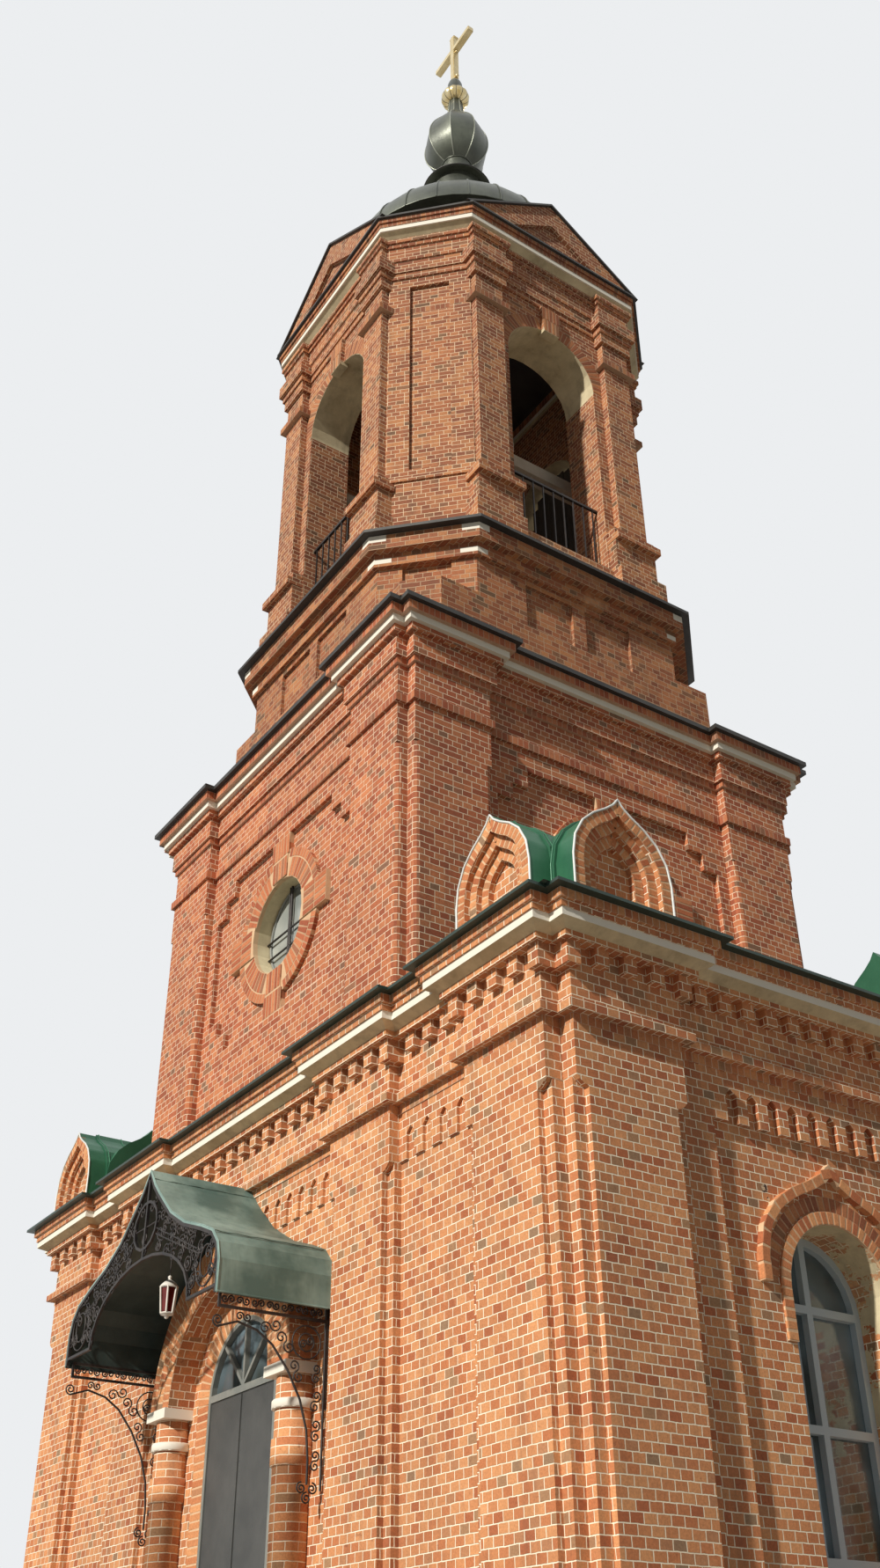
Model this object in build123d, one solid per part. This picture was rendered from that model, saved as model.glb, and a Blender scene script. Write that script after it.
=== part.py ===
from build123d import *
import math
import os

# A brick bell tower over its entrance block, built in millimetres.
# Origin on the ground under the tower axis, front towards -Y, up is +Z.
# Every level is the one under it plus the height of a course, a panel or a storey.

os.makedirs("parts", exist_ok=True)

# Brick module and how finely round work is cut
COURSE = 78.0
DENTIL = 143.0
HALF_ARC = 14
RING_SIDES = 24
SHAFT_SIDES = 12

# Plan of the entrance block, planes measured from the tower axis
PIER_FRONT = 3144.0
SIDE_PIER = 5569.0
RECESS = 110.0
NOTCH = 178.0
WALL = 940.0
DOOR_PIER_INNER = 1888.0
DOOR_PIER_OUTER = 2995.0
CORNER_PIER_INNER = 4232.0
SIDE_PIER_INNER = 1770.0
SIDE_FIELD = 1371.0
PANEL_SINK = 30.0
SIDE_PANEL_SINK = 62.0
REBATE = 62.0
REBATE_WIDE = 115.0
STAIR = 120.0

# Stacked heights of the entrance block
PLINTH_H = 750.0
DADO_H = 312.0
PANEL_H = 5227.0
TOOTH_H = 247.0
TOOTH_HEAD = 60.0
FIELD_H = 153.0
LOW_ROWLOCK_H = 85.0
BELT_H = 78.0
FRIEZE_H = 329.0
DENTIL_H = 208.0
DENTIL_UP = 52.0
SHELF_H = 59.0
COVE_H = 54.0
BAND_H = 78.0
HEADER_H = 66.0
CAP_H = 84.0
EAVES_H = 30.0

# Projections of the entrance block courses from the wall plane
PLINTH_OUT = 60.0
LOW_ROWLOCK_OUT = 12.0
BELT_OUT = 95.0
FRIEZE_OUT = 15.0
DENTIL_OUT = 100.0
SHELF_OUT = 155.0
BAND_OUT = 266.0
HEADER_OUT = 283.0
CAP_OUT = 315.0
EAVES_OUT = 400.0

# Sunk gaps between the teeth at the head of each panel
GAP_HALF = 65.0
BAY_GAPS = (3188.0, 277.0, 4)
DOOR_GAPS = (-1638.0, 252.0, 14)
SIDE_GAPS = (-1125.0, 250.0, 10)

# Front steps
STEP_COUNT = 5
STEP_TREAD = 320.0
STEP_HALF = 1500.0

# Vault over the hall
VAULT_SPRING_DOWN = 1050.0
VAULT_RISE = 450.0

# Doorway, frame and leaves
DOOR_HALF = 740.0
DOOR_H = 4040.0
LEAF_THICK = 60.0
LEAF_BACK = 2935.0
LEAF_GAP = 7.5
LEAF_CLEAR = 8.0
FRAME_WIDE = 45.0
FRAME_PROUD = 9.0
TRANSOM_H = 70.0
FAN_BAR = 18.0
FAN_BARS = (45.0, 90.0, 135.0)
HINGE_INSET = 400.0
HINGE_OFF = 20.0
PIN_R = 9.0
PIN_CLEAR = 1.0
KNUCKLE_R = 18.0
KNUCKLE_H = 60.0
KNUCKLE_GAP = 1.0
STRAP_THICK = 8.0
STRAP_TALL = 50.0
STRAP_LONG = 480.0

# Brick portal round the doorway
COLUMN_X = 1328.0
COLUMN_Y = 3110.0
COLUMN_R = 178.0
COLUMN_BASE_H = 300.0
COLUMN_BASE_HALF = 220.0
BULGE_DOWN = 490.0
BULGE_H = 230.0
BULGE_OUT = 22.0
RING_DOWN = 400.0
RING_H = 80.0
RING_OUT = 35.0
SLAB_H = 100.0
SLAB_FRONT = 3336.0
ARCH_INNER = 1100.0
ARCH_OUTER = 1540.0
ARCH_FRONT = 3300.0

# Tall windows of the entrance block
WINDOW_HALF = 640.0
WINDOW_SILL_UP = 1200.0
WINDOW_H = 2990.0
WINDOW_DEEP = 489.0
WINDOW_BAR = 70.0
WINDOW_FRAME_THICK = 80.0
WINDOW_BARS_UP = (1000.0, 2000.0)
MUNTIN_BACK = 12.0
GLASS = 8.0
VOUSSOIR = 110.0
VOUSSOIR_OUT = 20.0
VOUSSOIR_LEG = 430.0
LABEL_HALF = 985.0
LABEL_WIDE = 86.0
LABEL_OUT = 65.0
LABEL_UP = 20.0
LABEL_SPRING = 230.0
LABEL_TOP = 1184.0

# Plan of the square tower
T2_PIER = 3066.0
T2_RECESS = 130.0
T2_PIER_INNER = 1870.0
T2_CORNER = 2920.0
T2_WALL = 966.0
T2_ROUND = 65.0
T2_PANEL_SINK = 65.0
T2_PANELS = ((1250.0, 1212.0), (1480.0, 975.0), (1701.0, 746.0))

# Stacked heights of the square tower
T2_ROUND_H = 3502.0
T2_SQUARE_H = 541.0
T2_STRING_2_H = 107.0
T2_FRIEZE_H = 435.0
T2_STRING_1_H = 82.0
T2_UPPER_H = 293.0
T2_STEP_H = 93.0
T2_BAND_H = 91.0
T2_CAP_H = 116.0
T2_EAVES_H = 62.0

# Projections of the square tower courses
T2_STRING_2_OUT = 40.0
T2_STRING_1_OUT = 34.0
T2_UPPER_OUT = 68.0
T2_STEP_OUT = 130.0
T2_BAND_OUT = 186.0
T2_CAP_OUT = 240.0
T2_EAVES_OUT = 304.0
T2_ROOF_RISE = 300.0
T2_CEILING = 380.0

# Round windows of the square tower
OCULUS_UP = 2540.0
OCULUS_R = 613.0
OCULUS_RING = 990.0
OCULUS_RING_OUT = 50.0
OCULUS_KEY_OUT = 65.0
OCULUS_KEY_TOP = 227.0
OCULUS_KEY_FOOT = 150.0
OCULUS_KEY_REACH = 1210.0
OCULUS_EAR_REACH = 1194.0
OCULUS_EAR_HALF = 205.0
OCULUS_DEEP = 500.0
OCULUS_BAR = 60.0

# Octagonal stage
T3_PLANE = 2630.0
T3_HALF = 1686.0
T3_FOOT_HALF = 2250.0
T3_WALL = 700.0
T3_FOOT_H = 1300.0
T3_UPPER_H = 601.0
T3_CORNICE_LOW_H = 199.0
T3_CORNICE_HIGH_H = 240.0
T3_DECK_H = 47.0
T3_LOW_OUT = 70.0
T3_HIGH_OUT = 190.0
T3_DECK_OUT = 295.0
T3_PANEL_FROM = 108.0
T3_PANEL_TO = 892.0
T3_PANEL_H = 700.0
T3_PANEL_HEAD = 101.0
T3_PANEL_SINK = 50.0
T3_DIAG_PANEL_HALF = 330.0
T3_DIAG_PANEL_H = 480.0
T3_DIAG_PANEL_HEAD = 15.0
T3_STONE_WIDE = 330.0
T3_STONE_LOW = 80.0
T3_STONE_HIGH = 110.0
T3_STONE_UP = 50.0

# Belfry stage plan
T4_WALL_PLANE = 2430.0
T4_DIAG = 2800.0
T4_WALL = 700.0
T4_PIER = 2555.0
T4_PIER_HALF = 1505.0
T4_PIER_INNER = 1000.0
T4_FOOT_PLANE = 2675.0
T4_FOOT_HALF = 1675.0
T4_DIE_PLANE = 2600.0
T4_DIE_HALF = 1592.0
T4_DIE_INNER = 842.0
T4_MOULD_OUT = 90.0
T4_MOULD_INNER = 835.0
T4_ARCH_R = 830.0
T4_KEY_TOP = 180.0
T4_KEY_FOOT = 144.0
T4_KEY_OUT = 70.0
T4_PANEL_HALF = 310.0
T4_PANEL_SINK = 55.0

# Stacked heights of the belfry stage
T4_BASE_H = 213.0
T4_FOOT_H = 400.0
T4_DIE_H = 550.0
T4_MOULD_H = 250.0
T4_SHAFT_H = 3590.0
T4_ASTRAGAL_H = 116.0
T4_NECK_H = 445.0
T4_CAP_A_H = 204.0
T4_CAP_B_H = 132.0
T4_CAP_C_H = 248.0
T4_CAP_D_H = 312.0
T4_CAP_E_H = 83.0
T4_CAP_F_H = 88.0
T4_COVE_H = 90.0
T4_BAND_H = 90.0
T4_HEADER_H = 82.0
T4_ROWLOCK_H = 84.0
T4_EAVES_H = 40.0
T4_SILL_UP = 100.0
T4_SPRING_DOWN = 560.0
T4_ASTRAGAL_OUT = 79.0
T4_CAP_OUTS = (50.0, 80.0, 130.0, 60.0, 90.0, 120.0)
T4_RING_OUTS = (0.0, 30.0, 55.0, 80.0, 110.0, 140.0)
T4_COVE_OUT = 235.0
T4_BAND_OUT = 258.0
T4_HEADER_OUT = 268.0
T4_ROWLOCK_OUT = 295.0
T4_EAVES_OUT = 340.0
T4_VAULT_H = 900.0

# Gables over the belfry
GABLE_PLANE = 2700.0
GABLE_HALF = 1700.0
GABLE_THICK = 260.0
GABLE_RISE = 1200.0
GABLE_SHEET = 45.0
GABLE_STEP = 60.0
GABLE_FIELD = 0.58
GABLE_FIELD_SINK = 70.0

# Dome, neck and collar
DOME_SIDES = 16
DOME_DRUM_R = 1950.0
DOME_DRUM_H = 1707.0
DOME_R = 2161.0
DOME_RISE = 1689.0
DOME_RINGS = 6
NECK_R = 530.0
NECK_H = 1438.0
COLLAR_R = 662.0
COLLAR_H = 30.0
COLLAR_SLOPE_H = 130.0
SMALL_NECK_R = 300.0
SMALL_NECK_H = 702.0

# Onion as radius and height of each ring above its foot
ONION_SIDES = 8
ONION_RINGS = ((300.0, 0.0), (480.0, 130.0), (600.0, 350.0), (640.0, 626.0), (610.0, 900.0),
               (520.0, 1150.0), (380.0, 1400.0), (250.0, 1600.0), (172.0, 1760.0), (137.0, 2239.0))

# Gilded bulb as radius and height above its foot
BULB_SIDES = 10
BULB_RINGS = ((137.0, 0.0), (240.0, 50.0), (275.0, 137.0), (250.0, 235.0), (170.0, 330.0),
              (150.0, 400.0), (203.0, 463.0), (60.0, 819.0))
CROSS_POST = 118.0
CROSS_DEEP = 84.0
CROSS_H = 1610.0
CROSS_BAR_UP = 1092.0
CROSS_BAR_HALF = 618.0
CROSS_BAR_H = 122.0
CROSS_KNOB = 95.0
CROSS_KNOB_UP = 78.0
CROSS_TIP = 165.0

# Keel gables on the corners of the entrance block and the little roofs behind them
KEEL_HALF = 553.0
KEEL_SPRING = 461.0
KEEL_TOP = 1195.0
KEEL_FRONT_X = 4930.0
KEEL_SIDE_Y = 2465.0
KEEL_FRONT_PLANE = 3290.0
KEEL_SIDE_PLANE = 5785.0
KEEL_THICK = 240.0
KEEL_ORDERS = ((110.0, 60.0), (220.0, 120.0), (330.0, 180.0))
KEEL_FACE = 12.0
KEEL_DROP = 1.25
ROOF_SHEET = 40.0
SKIRT_RISE = 190.0
SKIRT_IN = 1150.0

# Canopy over the door, half profile from the ridge outwards
CANOPY_FRONT = 4230.0
CANOPY_SHEET = 20.0
CANOPY_FOOT_UP = 399.0
CANOPY_PROFILE = ((0.0, 1676.0), (150.0, 1491.0), (285.0, 1362.0), (621.0, 1074.0), (966.0, 888.0),
                  (1370.0, 746.0), (1620.0, 641.0), (1750.0, 501.0), (1800.0, 334.0), (1800.0, 31.0))
IRON = 30.0
RIM = 35.0
RIM_ARCH_R = 1180.0
RIM_ARCH_UP = 111.0
RIM_ARCH_RISE = 650.0
RIM_ARCH_BAR = 28.0
OVAL_HALF = 290.0
OVAL_FOOT = 828.0
OVAL_TOP = 1345.0
BRACKET_X = 1745.0
BRACKET_THICK = 25.0
BRACKET_DROP = 849.0
BRACKET_TOP_UP = 76.0
BRACKET_MID_DOWN = 84.0
BRACKET_NOSE = 60.0
LAMP_R = 95.0
LAMP_FRONT = 3900.0
LAMP_UP = 250.0
LAMP_H = 260.0
LAMP_CAP_H = 80.0
ROD_R = 8.0

# Bells and their timber
BEAM_UP = 3500.0
BEAM_HALF = 110.0
BEAM_H = 220.0
BEAM_LONG = 1250.0
BEARER_X = 1100.0
BEARER_H = 240.0
BELLS = ((-620.0, 300.0), (0.0, 420.0), (620.0, 300.0))
BELL_TALL = 1.5
BELL_DROP = 90.0
BELL_PROFILE = ((1.0, 0.0), (0.74, 0.22), (0.62, 0.55), (0.52, 0.88), (0.3, 1.0))
BELL_SKIN = 0.12

# Balustrades in the belfry arches
RAIL_TOP_UP = 1260.0
RAIL_H = 40.0
RAIL_FOOT_UP = 90.0
RAIL_DEEP = 40.0
BALUSTER = 18.0
BALUSTERS = 9
RAIL_BACK = 150.0

# Levels found by adding the heights up
PLINTH_TOP = PLINTH_H
PANEL_FOOT = PLINTH_TOP + DADO_H
TOOTH_FOOT = PANEL_FOOT + PANEL_H
LOW_ROWLOCK = TOOTH_FOOT + TOOTH_H + TOOTH_HEAD + FIELD_H
WALL_TOP = LOW_ROWLOCK + LOW_ROWLOCK_H
BELT_TOP = WALL_TOP + BELT_H
DENTIL_FOOT = BELT_TOP + FRIEZE_H
DENTIL_TOP = DENTIL_FOOT + DENTIL_H
SHELF_TOP = DENTIL_TOP + SHELF_H
BAND_FOOT = SHELF_TOP + COVE_H
BAND_TOP = BAND_FOOT + BAND_H
HEADER_TOP = BAND_TOP + HEADER_H
CAP_TOP = HEADER_TOP + CAP_H
EAVES_TOP = CAP_TOP + EAVES_H
HALL_X = SIDE_PIER - RECESS - WALL
HALL_Y = PIER_FRONT - RECESS - WALL
BAY = PIER_FRONT - RECESS
PANEL = BAY - PANEL_SINK
SIDE_BAY = SIDE_PIER - RECESS
SIDE_PANEL = SIDE_BAY - SIDE_PANEL_SINK
DOOR_SPRING = PLINTH_TOP + DOOR_H
WINDOW_SILL = PLINTH_TOP + WINDOW_SILL_UP
WINDOW_SPRING = WINDOW_SILL + WINDOW_H

T2_FOOT = BAND_TOP
T2_SQUARE = T2_FOOT + T2_ROUND_H
T2_WALL_TOP = T2_SQUARE + T2_SQUARE_H
T2_STRING_2 = T2_WALL_TOP + T2_STRING_2_H
T2_FRIEZE_TOP = T2_STRING_2 + T2_FRIEZE_H
T2_STRING_1 = T2_FRIEZE_TOP + T2_STRING_1_H
T2_STEP_FOOT = T2_STRING_1 + T2_UPPER_H
T2_BAND_FOOT = T2_STEP_FOOT + T2_STEP_H
T2_BAND_TOP = T2_BAND_FOOT + T2_BAND_H
T2_CAP_TOP = T2_BAND_TOP + T2_CAP_H
T2_EAVES_TOP = T2_CAP_TOP + T2_EAVES_H
T2_INNER = T2_PIER - T2_WALL
T2_BAY = T2_PIER - T2_RECESS
OCULUS_Z = T2_FOOT + OCULUS_UP

T3_FOOT_TOP = T2_CAP_TOP + T3_FOOT_H
T3_WALL_TOP = T3_FOOT_TOP + T3_UPPER_H
T3_LOW_TOP = T3_WALL_TOP + T3_CORNICE_LOW_H
T3_HIGH_TOP = T3_LOW_TOP + T3_CORNICE_HIGH_H
T3_DECK_TOP = T3_HIGH_TOP + T3_DECK_H

T4_BASE_TOP = T3_DECK_TOP + T4_BASE_H
T4_FOOT_TOP = T4_BASE_TOP + T4_FOOT_H
T4_DIE_TOP = T4_FOOT_TOP + T4_DIE_H
T4_MOULD_TOP = T4_DIE_TOP + T4_MOULD_H
T4_SHAFT_TOP = T4_MOULD_TOP + T4_SHAFT_H
T4_ASTRAGAL_TOP = T4_SHAFT_TOP + T4_ASTRAGAL_H
T4_NECK_TOP = T4_ASTRAGAL_TOP + T4_NECK_H
T4_CAP_STACK = (T4_CAP_A_H, T4_CAP_B_H, T4_CAP_C_H, T4_CAP_D_H, T4_CAP_E_H, T4_CAP_F_H)
T4_CAP_TOP = T4_NECK_TOP + sum(T4_CAP_STACK)
T4_BAND_FOOT = T4_CAP_TOP + T4_COVE_H
T4_BAND_TOP = T4_BAND_FOOT + T4_BAND_H
T4_HEADER_TOP = T4_BAND_TOP + T4_HEADER_H
T4_ROWLOCK_TOP = T4_HEADER_TOP + T4_ROWLOCK_H
T4_EAVES_TOP = T4_ROWLOCK_TOP + T4_EAVES_H
T4_SILL = T4_FOOT_TOP + T4_SILL_UP
T4_SPRING = T4_SHAFT_TOP - T4_SPRING_DOWN
T4_HALF = T4_DIAG * math.sqrt(2) - T4_WALL_PLANE
T4_ARCH_TOP = T4_SPRING + T4_ARCH_R

DOME_FOOT = T4_EAVES_TOP + DOME_DRUM_H
NECK_FOOT = DOME_FOOT + DOME_RISE
COLLAR_FOOT = NECK_FOOT + NECK_H
ONION_FOOT = COLLAR_FOOT + COLLAR_H + COLLAR_SLOPE_H + SMALL_NECK_H
BULB_FOOT = ONION_FOOT + ONION_RINGS[-1][1]
CROSS_FOOT = BULB_FOOT + BULB_RINGS[-1][1]
KEEL_FOOT = CAP_TOP
CANOPY_FOOT = DOOR_SPRING + CANOPY_FOOT_UP
FAR = 2 * SIDE_PIER


def block(x0, x1, y0, y1, z0, z1):
    # Straight box between two corners
    centre = Pos((x0 + x1) / 2, (y0 + y1) / 2, (z0 + z1) / 2)
    return centre * Box(x1 - x0, y1 - y0, z1 - z0)


def distinct(points):
    # Outline without points that fall on the one before
    kept = []
    for point in points:
        if not kept or math.dist(point, kept[-1]) > 0.01:
            kept.append(point)
    return kept


def upright(points, z0, z1):
    # Plan outline carried up from z0 to z1
    outline = Polyline([(x, y, z0) for x, y in points], close=True)
    return extrude(make_face(outline), amount=z1 - z0, dir=(0, 0, 1))


def across(points, y0, y1):
    # Elevation outline in X and Z carried along Y
    outline = Polyline([(x, y0, z) for x, z in distinct(points)], close=True)
    return extrude(make_face(outline), amount=y1 - y0, dir=(0, 1, 0))


def stacked(outlines):
    # Flat sided solid through level outlines with the same number of corners
    faces = []
    for ends in (outlines[0], outlines[-1]):
        faces.append(make_face(Polyline(ends, close=True)))
    for low, high in zip(outlines, outlines[1:]):
        for i in range(len(low)):
            j = (i + 1) % len(low)
            faces.append(make_face(Polyline([low[i], low[j], high[j], high[i]], close=True)))
    return Solid(Shell(faces))


def turned_rings(rings, sides, x=0.0, y=0.0):
    # Many sided upright form through rings of given radius and height
    outlines = []
    for radius, z in rings:
        turns = [2 * math.pi * i / sides for i in range(sides)]
        outlines.append([(x + radius * math.sin(t), y + radius * math.cos(t), z) for t in turns])
    return stacked(outlines)


def arc_points(half, rise, x, z, start, end, steps):
    # Points along an arc of a circle or an ellipse in elevation
    points = []
    for i in range(steps + 1):
        turn = math.radians(start + (end - start) * i / steps)
        points.append((x + half * math.cos(turn), z + rise * math.sin(turn)))
    return points


def round_y(radius, x, z, y0, y1, sides=RING_SIDES):
    # Many sided bar lying along Y
    return across(arc_points(radius, radius, x, z, 0, 360 - 360 / sides, sides - 1), y0, y1)


def shaft(radius, z0, z1, x=0.0, y=0.0, sides=SHAFT_SIDES):
    # Many sided upright bar
    return Pos(x, y, z0) * extrude(RegularPolygon(radius, sides), amount=z1 - z0)


def arched(half, z0, spring, y0, y1):
    # Round headed opening through a wall that faces -Y
    head = arc_points(half, half, 0, spring, 0, 180, HALF_ARC)
    return across([(half, z0)] + head + [(-half, z0)], y0, y1)


def half_ring(outer, inner, spring, y0, y1):
    # Half round band of masonry over an opening
    outside = arc_points(outer, outer, 0, spring, 0, 180, HALF_ARC)
    inside = arc_points(inner, inner, 0, spring, 180, 0, HALF_ARC)
    return across(outside + inside, y0, y1)


def turned(shape, angle):
    return Rot(0, 0, angle) * shape


def mirrored_x(shape):
    return mirror(shape, about=Plane.YZ)


def mirrored_y(shape):
    return mirror(shape, about=Plane.XZ)


def on_four(shape):
    # The same piece on the four faces of the tower
    return [turned(shape, 90 * k) for k in range(4)]


def fused(solids):
    total = None
    for s in solids:
        total = s if total is None else total + s
    return total


def save(shape, name):
    export_step(shape, "parts/" + name + ".step")


def as_group(solids):
    return Compound(children=list(solids))


# Outlines of the entrance block

def four_quarters(quarter):
    # A quarter outline given from the middle of the front round to the middle of the side
    right_front = [(x, -y) for x, y in quarter]
    right_back = [(x, y) for x, y in reversed(quarter)]
    left_back = [(-x, y) for x, y in quarter]
    left_front = [(-x, -y) for x, y in reversed(quarter)]
    return distinct(right_front + right_back + left_back + left_front)


def block_outline(out, bay_out=None):
    # Piers, bays and notched corners at a given projection
    bay_out = out if bay_out is None else bay_out
    corner_x = SIDE_PIER - NOTCH + out
    corner_y = PIER_FRONT - NOTCH + out
    return four_quarters([
        (DOOR_PIER_INNER - out, BAY + bay_out),
        (DOOR_PIER_INNER - out, PIER_FRONT + out),
        (DOOR_PIER_OUTER + out, PIER_FRONT + out),
        (DOOR_PIER_OUTER + out, BAY + bay_out),
        (CORNER_PIER_INNER - out, BAY + bay_out),
        (CORNER_PIER_INNER - out, PIER_FRONT + out),
        (corner_x, PIER_FRONT + out),
        (corner_x, corner_y),
        (SIDE_PIER + out, corner_y),
        (SIDE_PIER + out, SIDE_PIER_INNER - out),
        (SIDE_BAY + bay_out, SIDE_PIER_INNER - out),
    ])


def panel_outline(sink, side_sink):
    # Below the teeth every pier arris is rebated and the corner goes back in steps
    edge = PIER_FRONT - REBATE
    side_edge = SIDE_PIER - REBATE
    bay = BAY - sink
    stair_x = side_edge - 2 * STAIR
    return four_quarters([
        (DOOR_PIER_INNER, bay),
        (DOOR_PIER_INNER, edge),
        (DOOR_PIER_INNER + REBATE_WIDE, edge),
        (DOOR_PIER_INNER + REBATE_WIDE, PIER_FRONT),
        (DOOR_PIER_OUTER - REBATE_WIDE, PIER_FRONT),
        (DOOR_PIER_OUTER - REBATE_WIDE, edge),
        (DOOR_PIER_OUTER, edge),
        (DOOR_PIER_OUTER, bay),
        (CORNER_PIER_INNER, bay),
        (CORNER_PIER_INNER, edge),
        (CORNER_PIER_INNER + REBATE_WIDE, edge),
        (CORNER_PIER_INNER + REBATE_WIDE, PIER_FRONT),
        (stair_x, PIER_FRONT),
        (stair_x, edge),
        (stair_x + STAIR, edge),
        (stair_x + STAIR, edge - STAIR),
        (side_edge, edge - STAIR),
        (side_edge, edge - 2 * STAIR),
        (SIDE_PIER, edge - 2 * STAIR),
        (SIDE_PIER, SIDE_PIER_INNER + REBATE_WIDE),
        (side_edge, SIDE_PIER_INNER + REBATE_WIDE),
        (side_edge, SIDE_PIER_INNER),
        (SIDE_BAY, SIDE_PIER_INNER),
        (SIDE_BAY, SIDE_FIELD),
        (SIDE_BAY - side_sink, SIDE_FIELD),
    ])


def hall_void(z0, z1):
    return block(-HALL_X, HALL_X, -HALL_Y, HALL_Y, z0, z1)


def block_ring(out, z0, z1, bay_out=None):
    return upright(block_outline(out, bay_out), z0, z1) - hall_void(z0, z1)


def splayed_ring(out_low, out_high, z0, z1):
    # Plaster cove between two courses
    low = [(x, y, z0) for x, y in block_outline(out_low)]
    high = [(x, y, z1) for x, y in block_outline(out_high)]
    return stacked([low, high]) - hall_void(z0, z1)


# Ground course and front steps

def plinth():
    ring = block_ring(PLINTH_OUT, 0.0, PLINTH_TOP)
    threshold = BAY + PLINTH_OUT
    return ring, threshold


def front_steps(start):
    riser = PLINTH_TOP / STEP_COUNT
    flight = []
    for i in range(STEP_COUNT):
        reach = start + STEP_TREAD * (STEP_COUNT - i)
        flight.append(block(-STEP_HALF, STEP_HALF, -reach, -start, riser * i, riser * (i + 1)))
    return fused(flight)


# Walls of the entrance block

def tooth_gap(x, y0, y1):
    # Sunk gap with a pointed head between two hanging teeth
    shoulder = TOOTH_FOOT + TOOTH_H
    points = [(x - GAP_HALF, TOOTH_FOOT), (x + GAP_HALF, TOOTH_FOOT), (x + GAP_HALF, shoulder),
              (x, shoulder + TOOTH_HEAD), (x - GAP_HALF, shoulder)]
    return across(points, y0, y1)


def gap_row(run, y0, y1):
    first, pitch, count = run
    return [tooth_gap(first + pitch * i, y0, y1) for i in range(count)]


def tooth_gaps():
    front = gap_row(DOOR_GAPS, -BAY - 1, -PANEL)
    bay = gap_row(BAY_GAPS, -BAY - 1, -PANEL)
    front += bay + [mirrored_x(g) for g in bay]
    side = [turned(g, 90) for g in gap_row(SIDE_GAPS, -SIDE_BAY - 1, -SIDE_PANEL)]
    return front + [mirrored_y(g) for g in front] + side + [mirrored_x(g) for g in side]


def drop(x_from, x_to, y0, y1):
    # Rounded brick closing the head of a rebate, one course tall
    wide = x_to - x_from
    points = [(x_to, TOOTH_FOOT), (x_from, TOOTH_FOOT), (x_from, TOOTH_FOOT - COURSE),
              (x_from + 0.35 * wide, TOOTH_FOOT - 0.88 * COURSE),
              (x_from + 0.75 * wide, TOOTH_FOOT - 0.45 * COURSE)]
    return across(points, y0, y1)


def rebate_drops():
    front = []
    edges = ((DOOR_PIER_INNER + REBATE_WIDE, DOOR_PIER_INNER),
             (DOOR_PIER_OUTER - REBATE_WIDE, DOOR_PIER_OUTER),
             (CORNER_PIER_INNER + REBATE_WIDE, CORNER_PIER_INNER),
             (SIDE_PIER - REBATE - 2 * STAIR, SIDE_PIER - NOTCH))
    for x_from, x_to in edges:
        front.append(drop(x_from, x_to, -PIER_FRONT, -PIER_FRONT + REBATE))
    side = []
    edges = ((SIDE_PIER_INNER + REBATE_WIDE, SIDE_PIER_INNER),
             (PIER_FRONT - REBATE - 2 * STAIR, PIER_FRONT - NOTCH))
    for x_from, x_to in edges:
        side.append(turned(drop(-x_from, -x_to, -SIDE_PIER, -SIDE_PIER + REBATE), 90))
    quarter = front + side
    half = quarter + [mirrored_x(d) for d in quarter]
    return half + [mirrored_y(d) for d in half]


def base_walls():
    dado = upright(panel_outline(0.0, 0.0), PLINTH_TOP, PANEL_FOOT)
    field = upright(panel_outline(PANEL_SINK, SIDE_PANEL_SINK), PANEL_FOOT, TOOTH_FOOT)
    head = upright(block_outline(0.0), TOOTH_FOOT, LOW_ROWLOCK) - tooth_gaps()
    course = upright(block_outline(0.0, LOW_ROWLOCK_OUT), LOW_ROWLOCK, WALL_TOP)
    walls = dado + field + head + course + rebate_drops()
    return walls - hall_void(PLINTH_TOP, WALL_TOP)


def windows_cut(walls):
    # Deep round headed windows in the two ends and in the middle of the back
    shape = arched(WINDOW_HALF, WINDOW_SILL, WINDOW_SPRING, -FAR, -HALL_Y + WALL / 4)
    side = turned(arched(WINDOW_HALF, WINDOW_SILL, WINDOW_SPRING, -FAR, -HALL_X + WALL / 4), 90)
    return walls - [side, mirrored_x(side), mirrored_y(shape)]


def doorway_cut(walls):
    return walls - arched(DOOR_HALF, PLINTH_TOP, DOOR_SPRING, -FAR, -HALL_Y + WALL / 4)


def dentil_row(x_from, x_to, plane, corners):
    # Dentils along one straight run facing -Y, taller blocks closing a pier
    blocks = []
    inside = -plane + DENTIL
    face = -plane - DENTIL_OUT
    low = DENTIL_FOOT + DENTIL_UP
    if corners:
        blocks.append(block(x_from, x_from + DENTIL, face, inside, DENTIL_FOOT, DENTIL_TOP))
        blocks.append(block(x_to - DENTIL, x_to, face, inside, DENTIL_FOOT, DENTIL_TOP))
        x_from += DENTIL
        x_to -= DENTIL
    count = round((x_to - x_from - DENTIL) / (2 * DENTIL))
    space = (x_to - x_from - count * DENTIL) / (count + 1)
    for i in range(count):
        x = x_from + space + i * (DENTIL + space)
        blocks.append(block(x, x + DENTIL, face, inside, low, DENTIL_TOP))
    return blocks


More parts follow.
